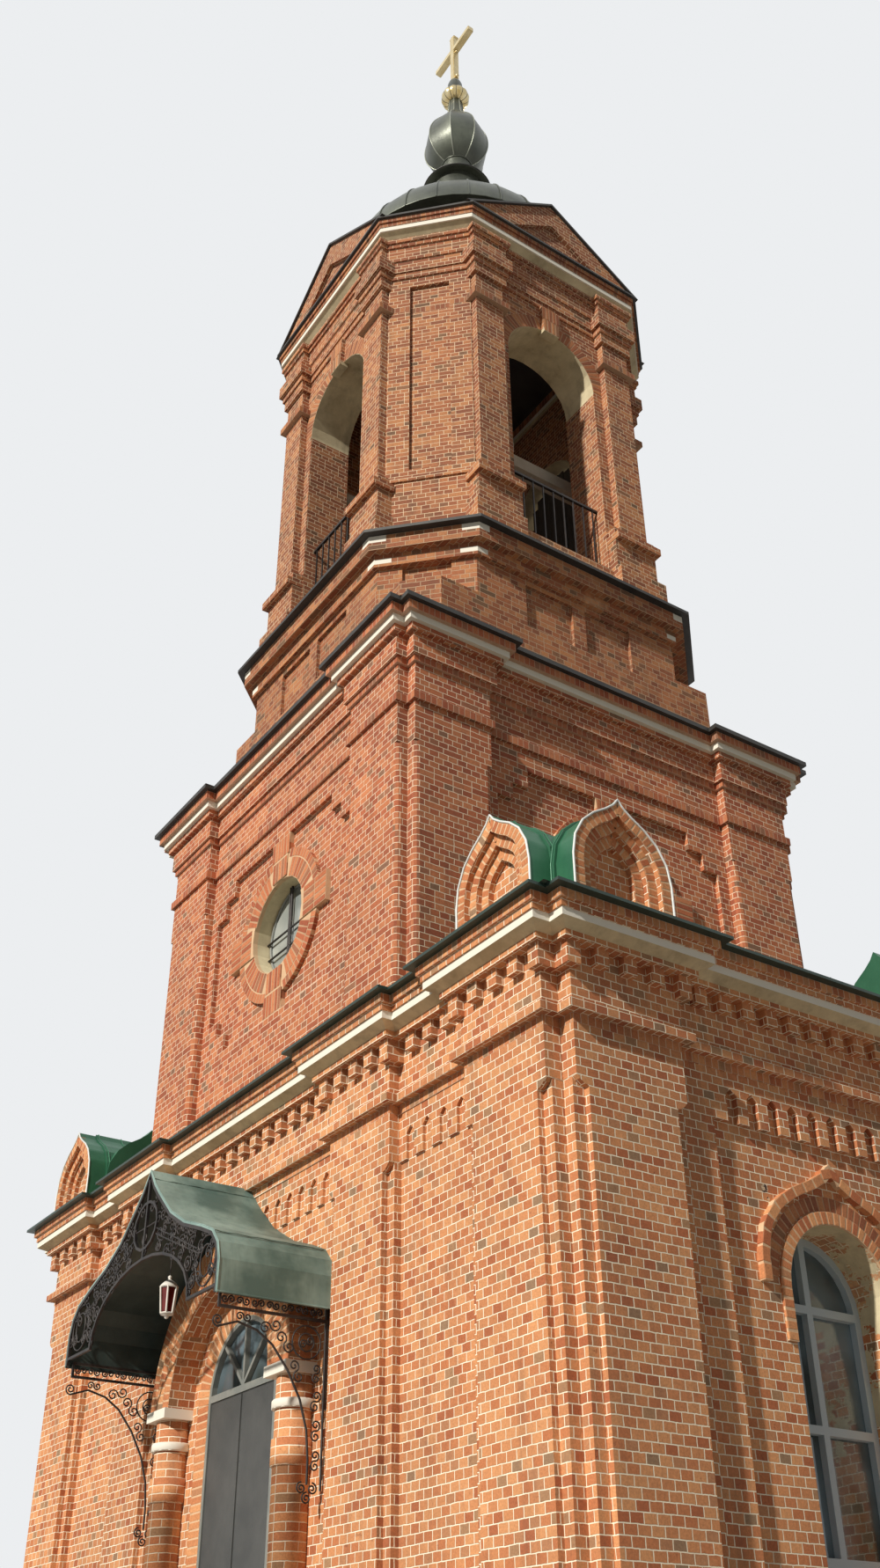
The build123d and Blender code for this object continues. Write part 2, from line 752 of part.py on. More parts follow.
def dentils():
    out = DENTIL_OUT
    corner = dentil_row(CORNER_PIER_INNER - out, SIDE_PIER - NOTCH + out, PIER_FRONT, True)
    door = dentil_row(DOOR_PIER_INNER - out, DOOR_PIER_OUTER + out, PIER_FRONT, True)
    bay = dentil_row(DOOR_PIER_OUTER + out, CORNER_PIER_INNER - out, BAY, False)
    half = corner + door + bay
    front = half + [mirrored_x(b) for b in half]
    front += dentil_row(-DOOR_PIER_INNER + out, DOOR_PIER_INNER - out, BAY, False)
    pier = dentil_row(SIDE_PIER_INNER - out, PIER_FRONT - NOTCH + out, SIDE_PIER, True)
    side = pier + [mirrored_x(b) for b in pier]
    side += dentil_row(-SIDE_PIER_INNER + out, SIDE_PIER_INNER - out, SIDE_BAY, False)
    side = [turned(b, 90) for b in side]
    return front + [mirrored_y(b) for b in front] + side + [mirrored_x(b) for b in side]


def hall_vault():
    # Low barrel of brick that carries the tower over the hall
    spring = T2_FOOT - VAULT_SPRING_DOWN
    mass = hall_void(spring, T2_FOOT)
    soffit = arc_points(HALL_Y, VAULT_RISE, 0, spring, 0, 180, HALF_ARC)
    return mass - turned(across(soffit, -HALL_X, HALL_X), 90)


def build_entrance():
    ring, threshold = plinth()
    save(ring + front_steps(threshold), "plinth_and_steps")
    save(hall_void(0, PLINTH_TOP), "hall_floor")

    walls = doorway_cut(windows_cut(base_walls()))
    over = block(-DOOR_HALF, DOOR_HALF, -FAR, -HALL_Y, DOOR_SPRING, WALL_TOP)
    left_front = block(-FAR, -DOOR_HALF, -FAR, -HALL_Y, PLINTH_TOP, WALL_TOP)
    back = block(-FAR, FAR, HALL_Y, FAR, PLINTH_TOP, WALL_TOP)
    left = block(-FAR, 0, -HALL_Y, HALL_Y, PLINTH_TOP, WALL_TOP)
    save(walls & left_front, "front_wall_left")
    save(walls & mirrored_x(left_front), "front_wall_right")
    save(walls & over, "wall_over_door")
    save(walls & back, "back_wall")
    save(walls & left, "left_wall")
    save(walls & mirrored_x(left), "right_wall")

    cornice = block_ring(BELT_OUT, WALL_TOP, BELT_TOP) + block_ring(FRIEZE_OUT, BELT_TOP, DENTIL_TOP)
    cornice = cornice + dentils()
    cornice = cornice + block_ring(SHELF_OUT, DENTIL_TOP, SHELF_TOP)
    cornice = cornice + splayed_ring(SHELF_OUT, BAND_OUT, SHELF_TOP, BAND_FOOT)
    cornice = cornice - hall_void(WALL_TOP, BAND_FOOT)
    cap = block_ring(HEADER_OUT, BAND_TOP, HEADER_TOP) + block_ring(CAP_OUT, HEADER_TOP, CAP_TOP)
    cap = cap - upright(t2_outline(0.0, 0), T2_FOOT, CAP_TOP)
    cap = cap - block(-T2_BAY, T2_BAY, -T2_PIER, T2_PIER, T2_FOOT, CAP_TOP)
    save(as_group(list(cornice.solids()) + list(cap.solids())), "entrance_cornice")
    save(hall_vault(), "hall_vault")
    return list(block_ring(BAND_OUT, BAND_FOOT, BAND_TOP).solids())


# Square tower over the entrance block

def arris(x, y, steps, dx, dy):
    # Rounded arris in plan, or a sharp one when steps is zero
    if not steps:
        return [(x, y)]
    cx = x - dx * T2_ROUND
    cy = y - dy * T2_ROUND
    points = []
    for i in range(steps + 1):
        turn = math.radians(90 * i / steps)
        points.append((cx + dx * T2_ROUND * math.cos(turn), cy + dy * T2_ROUND * math.sin(turn)))
    return points


def t2_outline(out, steps=0):
    # Two piers, the bay between them and the notched corner, on all four faces
    pier = T2_PIER + out
    inner = T2_PIER_INNER - out
    corner = T2_CORNER + out
    half = [(inner, T2_BAY + out)]
    if steps:
        half += arris(inner, pier, steps, -1, 1)
        half += list(reversed(arris(corner, pier, steps, 1, 1)))
    else:
        half += [(inner, pier), (corner, pier)]
    face = [(-x, -y) for x, y in reversed(half)] + [(x, -y) for x, y in half]
    face = [(-corner, -corner)] + face
    points = []
    for k in range(4):
        c = round(math.cos(math.radians(90 * k)))
        s = round(math.sin(math.radians(90 * k)))
        points += [(x * c - y * s, x * s + y * c) for x, y in face]
    return points


def t2_void(z0, z1):
    return block(-T2_INNER, T2_INNER, -T2_INNER, T2_INNER, z0, z1)


def t2_ring(out, z0, z1, steps=0):
    return upright(t2_outline(out, steps), z0, z1) - t2_void(z0, z1)


def tower_walls():
    walls = upright(t2_outline(0.0, 3), T2_FOOT, T2_SQUARE)
    walls = walls + upright(t2_outline(0.0), T2_SQUARE, T2_WALL_TOP)
    walls = walls - t2_void(T2_FOOT, T2_WALL_TOP)
    cuts = []
    for half, rise in T2_PANELS:
        cuts += on_four(block(-half, half, -T2_BAY - 1, -T2_BAY + T2_PANEL_SINK,
                              OCULUS_Z - rise, OCULUS_Z + rise))
    cuts += on_four(round_y(OCULUS_R, 0, OCULUS_Z, -FAR, -T2_INNER + T2_WALL / 4))
    return walls - cuts


def build_tower():
    walls = tower_walls()
    front = block(-FAR, FAR, -FAR, -T2_INNER, T2_FOOT, T2_WALL_TOP)
    side = block(T2_INNER, FAR, -T2_INNER, T2_INNER, T2_FOOT, T2_WALL_TOP)
    save(walls & front, "tower_wall_front")
    save(walls & mirrored_y(front), "tower_wall_back")
    save(walls & side, "tower_wall_right")
    save(walls & mirrored_x(side), "tower_wall_left")
    cornice = t2_ring(T2_STRING_2_OUT, T2_WALL_TOP, T2_STRING_2)
    cornice = cornice + t2_ring(0.0, T2_STRING_2, T2_FRIEZE_TOP)
    cornice = cornice + t2_ring(T2_STRING_1_OUT, T2_FRIEZE_TOP, T2_STRING_1)
    cornice = cornice + t2_ring(T2_UPPER_OUT, T2_STRING_1, T2_STEP_FOOT)
    cornice = cornice + t2_ring(T2_STEP_OUT, T2_STEP_FOOT, T2_BAND_FOOT)
    cap = t2_ring(T2_CAP_OUT, T2_BAND_TOP, T2_CAP_TOP)
    save(as_group([cornice, cap]), "tower_cornice")
    ceiling = t2_void(T2_CAP_TOP - T2_CEILING, T2_CAP_TOP)
    save(ceiling - t3_void(T2_CAP_TOP - T2_CEILING, T2_CAP_TOP), "tower_ceiling")
    edge = upright(t2_outline(T2_EAVES_OUT), T2_CAP_TOP, T2_EAVES_TOP)
    wide = 2 * (T2_BAY + T2_EAVES_OUT)
    slope = Pos(0, 0, T2_EAVES_TOP) * extrude(Rectangle(wide, wide), amount=T2_ROOF_RISE, taper=60)
    roof = edge + slope - octagon(T3_PLANE, T3_FOOT_HALF, T2_CAP_TOP, T3_FOOT_TOP)
    save(roof, "tower_roof")
    return list(t2_ring(T2_BAND_OUT, T2_BAND_FOOT, T2_BAND_TOP).solids())


# Octagonal stage

def octagon(plane, half, z0, z1):
    points = []
    for k in range(4):
        c = round(math.cos(math.radians(90 * k)))
        s = round(math.sin(math.radians(90 * k)))
        points += [(x * c + plane * s, x * s - plane * c) for x in (-half, half)]
    return upright(points, z0, z1)


def grown(plane, half, out):
    # Octagon offset evenly on all eight faces
    return plane + out, half + out * math.tan(math.radians(22.5))


def oct_ring(plane, half, wall, z0, z1, out=0.0):
    outer = octagon(*grown(plane, half, out), z0, z1)
    return outer - octagon(*grown(plane, half, -wall), z0, z1)


def t3_void(z0, z1):
    return octagon(*grown(T3_PLANE, T3_HALF, -T3_WALL), z0, z1)


def sunk_panels():
    # Twin panels on the four main faces and a single one on each diagonal
    top = T3_WALL_TOP - T3_PANEL_HEAD
    twin = block(T3_PANEL_FROM, T3_PANEL_TO, -T3_PLANE - 1, -T3_PLANE + T3_PANEL_SINK,
                 top - T3_PANEL_H, top)
    cuts = on_four(twin) + on_four(mirrored_x(twin))
    diagonal = (T3_PLANE + T3_HALF) / math.sqrt(2)
    top = T3_WALL_TOP - T3_DIAG_PANEL_HEAD
    single = block(-T3_DIAG_PANEL_HALF, T3_DIAG_PANEL_HALF, -diagonal - 1,
                   -diagonal + T3_PANEL_SINK, top - T3_DIAG_PANEL_H, top)
    return cuts + [turned(s, 45) for s in on_four(single)]


def corner_stones(z0, z1, out):
    # White stones set in the eight arrises of the cornice
    ring = oct_ring(T3_PLANE, T3_HALF, T3_STONE_WIDE, z0, z1, out)
    x, y = grown(T3_PLANE, T3_HALF, out)
    stones = []
    for turn in (0, 90, 180, 270):
        for sign in (-1, 1):
            centre = Pos(sign * y, -x, (z0 + z1) / 2)
            spot = turned(centre * Box(T3_STONE_WIDE, T3_STONE_WIDE, z1 - z0), turn)
            stones.append(ring & spot)
    return stones


def build_drum():
    body = octagon(T3_PLANE, T3_FOOT_HALF, T2_CAP_TOP, T3_FOOT_TOP)
    body = body + octagon(T3_PLANE, T3_HALF, T3_FOOT_TOP, T3_WALL_TOP)
    body = body - t3_void(T2_CAP_TOP, T3_WALL_TOP)
    save(body - sunk_panels(), "drum_walls")
    low = corner_stones(T3_WALL_TOP + T3_STONE_UP, T3_WALL_TOP + T3_STONE_UP + T3_STONE_LOW, T3_LOW_OUT)
    high = corner_stones(T3_HIGH_TOP - T3_STONE_HIGH, T3_HIGH_TOP, T3_HIGH_OUT)
    cornice = oct_ring(T3_PLANE, T3_HALF, T3_WALL, T3_WALL_TOP, T3_LOW_TOP, T3_LOW_OUT)
    cornice = cornice + oct_ring(T3_PLANE, T3_HALF, T3_WALL, T3_LOW_TOP, T3_HIGH_TOP, T3_HIGH_OUT)
    save(cornice - (low + high), "drum_cornice")
    deck = octagon(*grown(T3_PLANE, T3_HALF, T3_DECK_OUT), T3_HIGH_TOP, T3_DECK_TOP)
    save(deck + octagon(T3_PLANE, T3_HALF, T3_DECK_TOP, T4_BASE_TOP), "belfry_floor")
    return low + high


# Belfry stage

def pier_block(inner, half, plane, z0, z1):
    # One pier block on the right of the front face, let into the octagon behind it
    return block(inner, half, -plane, -T4_WALL_PLANE + COURSE, z0, z1)


def eight_piers(inner, half, plane, z0, z1):
    right = pier_block(inner, half, plane, z0, z1)
    return on_four(right) + on_four(mirrored_x(right))


def belfry_openings(foot):
    opening = arched(T4_ARCH_R, foot, T4_SPRING, -FAR, 0)
    return on_four(opening)


def keystones():
    # Tapered key standing proud over each arch
    head = T4_NECK_TOP + T4_CAP_A_H
    points = [(-T4_KEY_FOOT, T4_ARCH_TOP - COURSE), (T4_KEY_FOOT, T4_ARCH_TOP - COURSE),
              (T4_KEY_TOP, head), (-T4_KEY_TOP, head)]
    return on_four(across(points, -T4_WALL_PLANE - T4_KEY_OUT, -T4_WALL_PLANE + COURSE))


def build_belfry():
    ring = oct_ring(T4_WALL_PLANE, T4_HALF, T4_WALL, T4_BASE_TOP, T4_SPRING)
    course = oct_ring(T4_WALL_PLANE, T4_HALF, T4_WALL, T4_MOULD_TOP - COURSE, T4_MOULD_TOP, T4_PANEL_SINK / 2)
    body = ring + course
    body = body + eight_piers(T4_PIER_INNER, T4_PIER_HALF, T4_PIER, T4_MOULD_TOP, T4_SPRING)
    body = body + eight_piers(T4_MOULD_INNER, T4_DIE_HALF + T4_MOULD_OUT / 2, T4_DIE_PLANE + T4_MOULD_OUT,
                              T4_DIE_TOP, T4_DIE_TOP + T4_MOULD_H / 2)
    body = body + eight_piers(T4_DIE_INNER, T4_DIE_HALF, T4_DIE_PLANE, T4_FOOT_TOP, T4_MOULD_TOP)
    body = body + eight_piers(T4_MOULD_INNER, T4_FOOT_HALF, T4_FOOT_PLANE, T4_BASE_TOP, T4_FOOT_TOP)
    foot = oct_ring(T4_WALL_PLANE, T4_HALF, T4_WALL, T4_BASE_TOP, T4_FOOT_TOP,
                    (T4_FOOT_PLANE - T4_DIE_PLANE))
    body = body + foot - belfry_openings(T4_SILL)
    body = body - oct_hollow(T4_BASE_TOP, T4_SPRING)
    panel_foot = T4_MOULD_TOP + 2 * COURSE
    panel_top = T4_NECK_TOP
    panel = block(-T4_PANEL_HALF, T4_PANEL_HALF, -T4_DIAG - COURSE, -T4_DIAG + T4_PANEL_SINK,
                  panel_foot, panel_top)
    panels = [turned(p, 45) for p in on_four(panel)]
    save(as_group((body - panels).solids()), "belfry_piers")

    head = oct_ring(T4_WALL_PLANE, T4_HALF, T4_WALL, T4_SPRING, T4_NECK_TOP)
    head = head + eight_piers(T4_PIER_INNER, T4_PIER_HALF, T4_PIER, T4_SPRING, T4_NECK_TOP)
    head = head + eight_piers(T4_PIER_INNER - T4_ASTRAGAL_OUT, T4_PIER_HALF + T4_ASTRAGAL_OUT,
                              T4_PIER + T4_ASTRAGAL_OUT, T4_SHAFT_TOP, T4_ASTRAGAL_TOP)
    head = head - belfry_openings(T4_SILL) - oct_hollow(T4_SPRING, T4_NECK_TOP)
    keys = keystones()
    save(head - panels - keys, "belfry_arches")

    level = T4_NECK_TOP
    cornice = None
    for height, cap_out, ring_out in zip(T4_CAP_STACK, T4_CAP_OUTS, T4_RING_OUTS):
        top = level + height
        tier = oct_ring(T4_WALL_PLANE, T4_HALF, T4_WALL, level, top, ring_out)
        tier = tier + eight_piers(T4_PIER_INNER - cap_out, T4_PIER_HALF + cap_out,
                                  T4_PIER + cap_out, level, top)
        cornice = tier if cornice is None else cornice + tier
        level = top
    cornice = cornice + cove()
    cornice = cornice - oct_hollow(T4_NECK_TOP, T4_BAND_FOOT) + keys
    top = oct_ring(T4_WALL_PLANE, T4_HALF, T4_WALL, T4_BAND_TOP, T4_HEADER_TOP, T4_HEADER_OUT)
    top = top + oct_ring(T4_WALL_PLANE, T4_HALF, T4_WALL, T4_HEADER_TOP, T4_ROWLOCK_TOP, T4_ROWLOCK_OUT)
    save(as_group(list(cornice.solids()) + [top]), "belfry_cornice")
    return [oct_ring(T4_WALL_PLANE, T4_HALF, T4_WALL, T4_BAND_FOOT, T4_BAND_TOP, T4_BAND_OUT)]


def oct_hollow(z0, z1):
    return octagon(*grown(T4_WALL_PLANE, T4_HALF, -T4_WALL), z0, z1)


def cove():
    # Plaster cove under the white band of the belfry
    outlines = []
    for out, z in ((T4_RING_OUTS[-1], T4_CAP_TOP), (T4_COVE_OUT, T4_BAND_FOOT)):
        plane, half = grown(T4_WALL_PLANE, T4_HALF, out)
        points = []
        for k in range(4):
            c = round(math.cos(math.radians(90 * k)))
            s = round(math.sin(math.radians(90 * k)))
            points += [(x * c + plane * s, x * s - plane * c, z) for x in (-half, half)]
        outlines.append(points)
    return stacked(outlines)


# Keel gables at the corners of the entrance block

def keel_points(half, spring, top, foot):
    # Half circle drawn up into a point, as in a boat keel turned over
    rise = top - spring
    right = [(half, foot), (half, spring)]
    for turn in (20, 40, 58):
        bend = math.radians(turn)
        right.append((half * math.cos(bend), spring + 0.8 * rise * math.sin(bend)))
    right.append((half * 0.27, spring + rise * 0.80))
    right.append((half * 0.10, spring + rise * 0.90))
    left = [(-x, z) for x, z in reversed(right)]
    return right + [(0, top)] + left


def keel(half, top, y0, y1):
    return across(keel_points(half, KEEL_FOOT + KEEL_SPRING, KEEL_FOOT + top, KEEL_FOOT), y0, y1)


def front_keel(half, top, face, back):
    return Pos(KEEL_FRONT_X, 0, 0) * keel(half, top, -face, -back)


def side_keel(half, top, face, back):
    return Pos(0, -KEEL_SIDE_Y, 0) * turned(keel(half, top, -face, -back), 90)


def keel_gable(make, plane):
    # Three receding arches inside the keel outline
    face = make(KEEL_HALF, KEEL_TOP, plane, plane - KEEL_THICK)
    for ring, sink in KEEL_ORDERS:
        face = face - make(KEEL_HALF - ring, KEEL_TOP - KEEL_DROP * ring, plane + 1, plane - sink)
    return face


def corner_roof():
    # Two keel shaped barrels crossing behind a corner, closed at their inner ends
    inner_x = KEEL_FRONT_X - KEEL_HALF
    inner_y = KEEL_SIDE_Y - KEEL_HALF
    behind_front = KEEL_FRONT_PLANE - KEEL_THICK
    behind_side = KEEL_SIDE_PLANE - KEEL_THICK
    sheet = ROOF_SHEET
    outer = front_keel(KEEL_HALF + sheet, KEEL_TOP + sheet, behind_front, inner_y - sheet)
    outer = outer + side_keel(KEEL_HALF + sheet, KEEL_TOP + sheet, behind_side, inner_x - sheet)
    hollow = front_keel(KEEL_HALF, KEEL_TOP, behind_front, inner_y)
    hollow = hollow + side_keel(KEEL_HALF, KEEL_TOP, behind_side, inner_x)
    return outer, hollow


def level_rectangle(half_x, half_y, z):
    return [(-half_x, -half_y, z), (half_x, -half_y, z), (half_x, half_y, z), (-half_x, half_y, z)]


def build_entrance_roof():
    gables = [keel_gable(front_keel, KEEL_FRONT_PLANE), keel_gable(side_keel, KEEL_SIDE_PLANE)]
    gables += [mirrored_x(g) for g in gables]
    gables += [mirrored_y(g) for g in gables]
    save(as_group(gables), "kokoshnik_gables")

    edge = upright(block_outline(EAVES_OUT), CAP_TOP, EAVES_TOP)
    low = level_rectangle(SIDE_BAY + EAVES_OUT, BAY + EAVES_OUT, EAVES_TOP)
    high = level_rectangle(SIDE_BAY + EAVES_OUT - SKIRT_IN, BAY + EAVES_OUT - SKIRT_IN / 4,
                           EAVES_TOP + SKIRT_RISE)
    skirt = edge + stacked([low, high])
    outer, hollow = corner_roof()
    outers = [outer, mirrored_x(outer)]
    outers += [mirrored_y(o) for o in outers]
    hollows = [hollow, mirrored_x(hollow)]
    hollows += [mirrored_y(h) for h in hollows]
    roof = skirt + outers - hollows
    top = EAVES_TOP + SKIRT_RISE
    stands = [Pos(KEEL_FRONT_X, 0, 0) * block(-KEEL_HALF, KEEL_HALF, -FAR, -KEEL_FRONT_PLANE + KEEL_THICK,
                                              EAVES_TOP, top),
              Pos(0, -KEEL_SIDE_Y, 0) * turned(block(-KEEL_HALF, KEEL_HALF, -FAR,
                                                     -KEEL_SIDE_PLANE + KEEL_THICK, EAVES_TOP, top), 90)]
    stands += [Pos(KEEL_FRONT_X, 0, 0) * block(-KEEL_HALF, KEEL_HALF, -KEEL_FRONT_PLANE,
                                               -KEEL_FRONT_PLANE + KEEL_THICK, CAP_TOP, top),
               Pos(0, -KEEL_SIDE_Y, 0) * turned(block(-KEEL_HALF, KEEL_HALF, -KEEL_SIDE_PLANE,
                                                      -KEEL_SIDE_PLANE + KEEL_THICK, CAP_TOP, top), 90)]
    stands += [front_keel(KEEL_HALF, KEEL_TOP, KEEL_FRONT_PLANE, KEEL_FRONT_PLANE - KEEL_THICK),
               side_keel(KEEL_HALF, KEEL_TOP, KEEL_SIDE_PLANE, KEEL_SIDE_PLANE - KEEL_THICK)]
    stands += [mirrored_x(s) for s in stands]
    stands += [mirrored_y(s) for s in stands]
    roof = roof - stands
    roof = roof - block(-T2_PIER, T2_PIER, -T2_PIER, T2_PIER, CAP_TOP, KEEL_FOOT + 2 * KEEL_TOP)
    save(as_group(roof.solids()), "entrance_roof")


# Sheet metal canopy and its ironwork

def inward(points, thick):
    # The same line of points moved in by the thickness of the sheet
    moved = []
    for i, (x, z) in enumerate(points):
        x0, z0 = points[max(i - 1, 0)]
        x1, z1 = points[min(i + 1, len(points) - 1)]
        length = math.hypot(x1 - x0, z1 - z0)
        moved.append((x + (z1 - z0) / length * thick, z - (x1 - x0) / length * thick))
    return moved


def canopy_line(inset):
    right = [(x, CANOPY_FOOT + z) for x, z in CANOPY_PROFILE]
    line = [(-x, z) for x, z in reversed(right)] + right[1:]
    return inward(line, inset) if inset else line


def canopy_sheet(thick, inset, y0, y1):
    line = canopy_line(inset)
    return across(line + list(reversed(inward(line, thick))), y0, y1)


def wall_face():
    # Everything behind the wall planes where the canopy meets the doorway bay
    wide = CANOPY_FRONT
    layers = ((0, PANEL_FOOT, BAY), (PANEL_FOOT, TOOTH_FOOT, PANEL), (TOOTH_FOOT, LOW_ROWLOCK, BAY),
              (LOW_ROWLOCK, WALL_TOP, BAY + LOW_ROWLOCK_OUT), (WALL_TOP, BAND_TOP, BAY + BELT_OUT))
    return [block(-wide, wide, -plane, 0, z0, z1) for z0, z1, plane in layers]


def flat_bar(points, thick, y0, y1):
    # Bar of even width along a line of points
    return across(points + list(reversed(inward(points, thick))), y0, y1)


def bracket(side):
    # Upright against the wall, two level bars, a nose and a curved brace
    lo, hi = sorted((side * BRACKET_X, side * (BRACKET_X - BRACKET_THICK)))
    t = BRACKET_THICK
    nose = -CANOPY_FRONT + BRACKET_NOSE
    top = CANOPY_FOOT + BRACKET_TOP_UP
    mid = CANOPY_FOOT - BRACKET_MID_DOWN
    foot = CANOPY_FOOT - BRACKET_DROP
    post = block(lo, hi, -PANEL - t, -PANEL, foot, top)
    bars = post + block(lo, hi, nose, -PANEL, top - t, top) + block(lo, hi, nose, -PANEL, mid, mid + t)
    bars = bars + block(lo, hi, nose, nose + t, mid, top)
    reach = CANOPY_FRONT - BRACKET_NOSE - PANEL
    curve = []
    for i in range(7):
        bend = math.radians(90 * i / 6)
        curve.append((-PANEL - reach * (1 - math.cos(bend)), foot + (mid - foot) * math.sin(bend)))
    outer = [(y + t, z - t) for y, z in curve]
    brace = Polyline([(lo, y, z) for y, z in curve + list(reversed(outer))], close=True)
    brace = extrude(make_face(brace), amount=hi - lo, dir=(1, 0, 0))
    behind = block(lo - t, hi + t, -PANEL, 0, 0, top)
    return bars + (brace - behind)


def build_canopy():
    wall = wall_face()
    roof = canopy_sheet(CANOPY_SHEET, 0, -CANOPY_FRONT, -PANEL) - wall
    save(roof, "canopy_roof")
    y0 = -CANOPY_FRONT
    y1 = y0 + IRON
    rim = canopy_sheet(RIM, CANOPY_SHEET, y0, y1)
    spring = CANOPY_FOOT + RIM_ARCH_UP
    arch = flat_bar(arc_points(RIM_ARCH_R, RIM_ARCH_RISE, 0, spring, 180, 0, HALF_ARC), RIM_ARCH_BAR, y0, y1)
    reach = CANOPY_PROFILE[-1][0] - CANOPY_SHEET - RIM / 2
    tie = block(RIM_ARCH_R - RIM_ARCH_BAR, reach, y0, y1, spring - RIM_ARCH_BAR, spring)
    centre = CANOPY_FOOT + (OVAL_TOP + OVAL_FOOT) / 2
    rise = (OVAL_TOP - OVAL_FOOT) / 2
    oval = arc_points(OVAL_HALF, rise, 0, centre, 0, 360 - 360 / HALF_ARC, HALF_ARC - 1)
    hole = arc_points(OVAL_HALF - IRON, rise - IRON, 0, centre, 0, 360 - 360 / HALF_ARC, HALF_ARC - 1)
    oval = across(oval, y0, y1) - across(hole, y0, y1)
    post = block(-IRON / 2, IRON / 2, y0, y1, spring + RIM_ARCH_RISE - RIM_ARCH_BAR / 2,
                 CANOPY_FOOT + CANOPY_PROFILE[0][1] - 3 * RIM)
    front = rim + arch + tie + mirrored_x(tie) + oval + post
    save(as_group([front, bracket(-1), bracket(1)]), "canopy_ironwork")

    foot = CANOPY_FOOT + LAMP_UP
    lamp = turned_rings([(LAMP_R, foot), (LAMP_R, foot + LAMP_H), (2 * ROD_R, foot + LAMP_H + LAMP_CAP_H)],
                        6, 0, -LAMP_FRONT)
    rod = shaft(ROD_R, foot + LAMP_H, CANOPY_FOOT + CANOPY_PROFILE[0][1], 0, -LAMP_FRONT, 6)
    rod = rod - canopy_sheet(CANOPY_SHEET, 0, -CANOPY_FRONT, -PANEL)
    rod = sorted(rod.solids(), key=lambda s: s.center().Z)[0]
    save(lamp + rod, "canopy_lantern")


# Double door, its frame and fanlight

def leaf():
    # Plain sheeted leaf with the axis of its hinges
    leaf_half = DOOR_HALF - FRAME_WIDE - LEAF_CLEAR
    foot = PLINTH_TOP + LEAF_CLEAR
    head = DOOR_SPRING - LEAF_CLEAR
    sheet = block(-leaf_half, -LEAF_GAP, -LEAF_BACK - LEAF_THICK, -LEAF_BACK, foot, head)
    return sheet, -leaf_half - LEAF_CLEAR / 2, -LEAF_BACK + HINGE_OFF


def build_door():
    left, axis_x, axis_y = leaf()
    fixed = []
    half = KNUCKLE_H / 2
    for z in (PLINTH_TOP + HINGE_INSET, PLINTH_TOP + DOOR_H / 2, DOOR_SPRING - HINGE_INSET):
        eye = shaft(KNUCKLE_R, z - half, z + half, axis_x, axis_y)
        strap = block(axis_x, axis_x + STRAP_LONG, -LEAF_BACK, -LEAF_BACK + STRAP_THICK,
                      z - STRAP_TALL / 2, z + STRAP_TALL / 2)
        bore = shaft(PIN_R + PIN_CLEAR, z - KNUCKLE_H, z + KNUCKLE_H, axis_x, axis_y)
        left = left + (eye + strap - bore)
        post = shaft(PIN_R, z - KNUCKLE_H, z + KNUCKLE_H, axis_x, axis_y)
        for low in (z - half - KNUCKLE_GAP - half, z + half + KNUCKLE_GAP):
            post = post + shaft(KNUCKLE_R, low, low + half, axis_x, axis_y)
            post = post + block(axis_x - 2 * KNUCKLE_R, axis_x, -LEAF_BACK, -LEAF_BACK + STRAP_THICK,
                                low, low + half)
        fixed += [post, mirrored_x(post)]
    save(left, "door_leaf_left")
    save(mirrored_x(left), "door_leaf_right")

    face = -LEAF_BACK - LEAF_THICK - FRAME_PROUD
    posts = block(-DOOR_HALF, -DOOR_HALF + FRAME_WIDE, face, -LEAF_BACK, PLINTH_TOP, DOOR_SPRING)
    frame = posts + mirrored_x(posts)
    over = DOOR_SPRING + TRANSOM_H
    opening = arched(DOOR_HALF, DOOR_SPRING, DOOR_SPRING, face, -LEAF_BACK)
    inner = arched(DOOR_HALF - FRAME_WIDE, over, over, face, -LEAF_BACK)
    inner = inner & arched(DOOR_HALF - FRAME_WIDE, DOOR_SPRING, DOOR_SPRING, face, -LEAF_BACK)
    fan = opening - (inner & block(-FAR, FAR, face, -LEAF_BACK, over, FAR))
    bars = []
    for turn in FAN_BARS:
        bar = block(0, DOOR_HALF, face + FRAME_PROUD, -LEAF_BACK - GLASS, -FAN_BAR, FAN_BAR)
        bars.append(Pos(0, 0, over) * (Rot(0, -turn, 0) * bar) & opening
                    & block(-FAR, FAR, face, -LEAF_BACK, over, FAR))
    frame = frame + fan + bars + fixed
    save(frame, "door_frame")
    pane = inner & block(-FAR, FAR, -LEAF_BACK - GLASS, -LEAF_BACK, over, FAR)
    return list(pane.solids())


# Brick portal

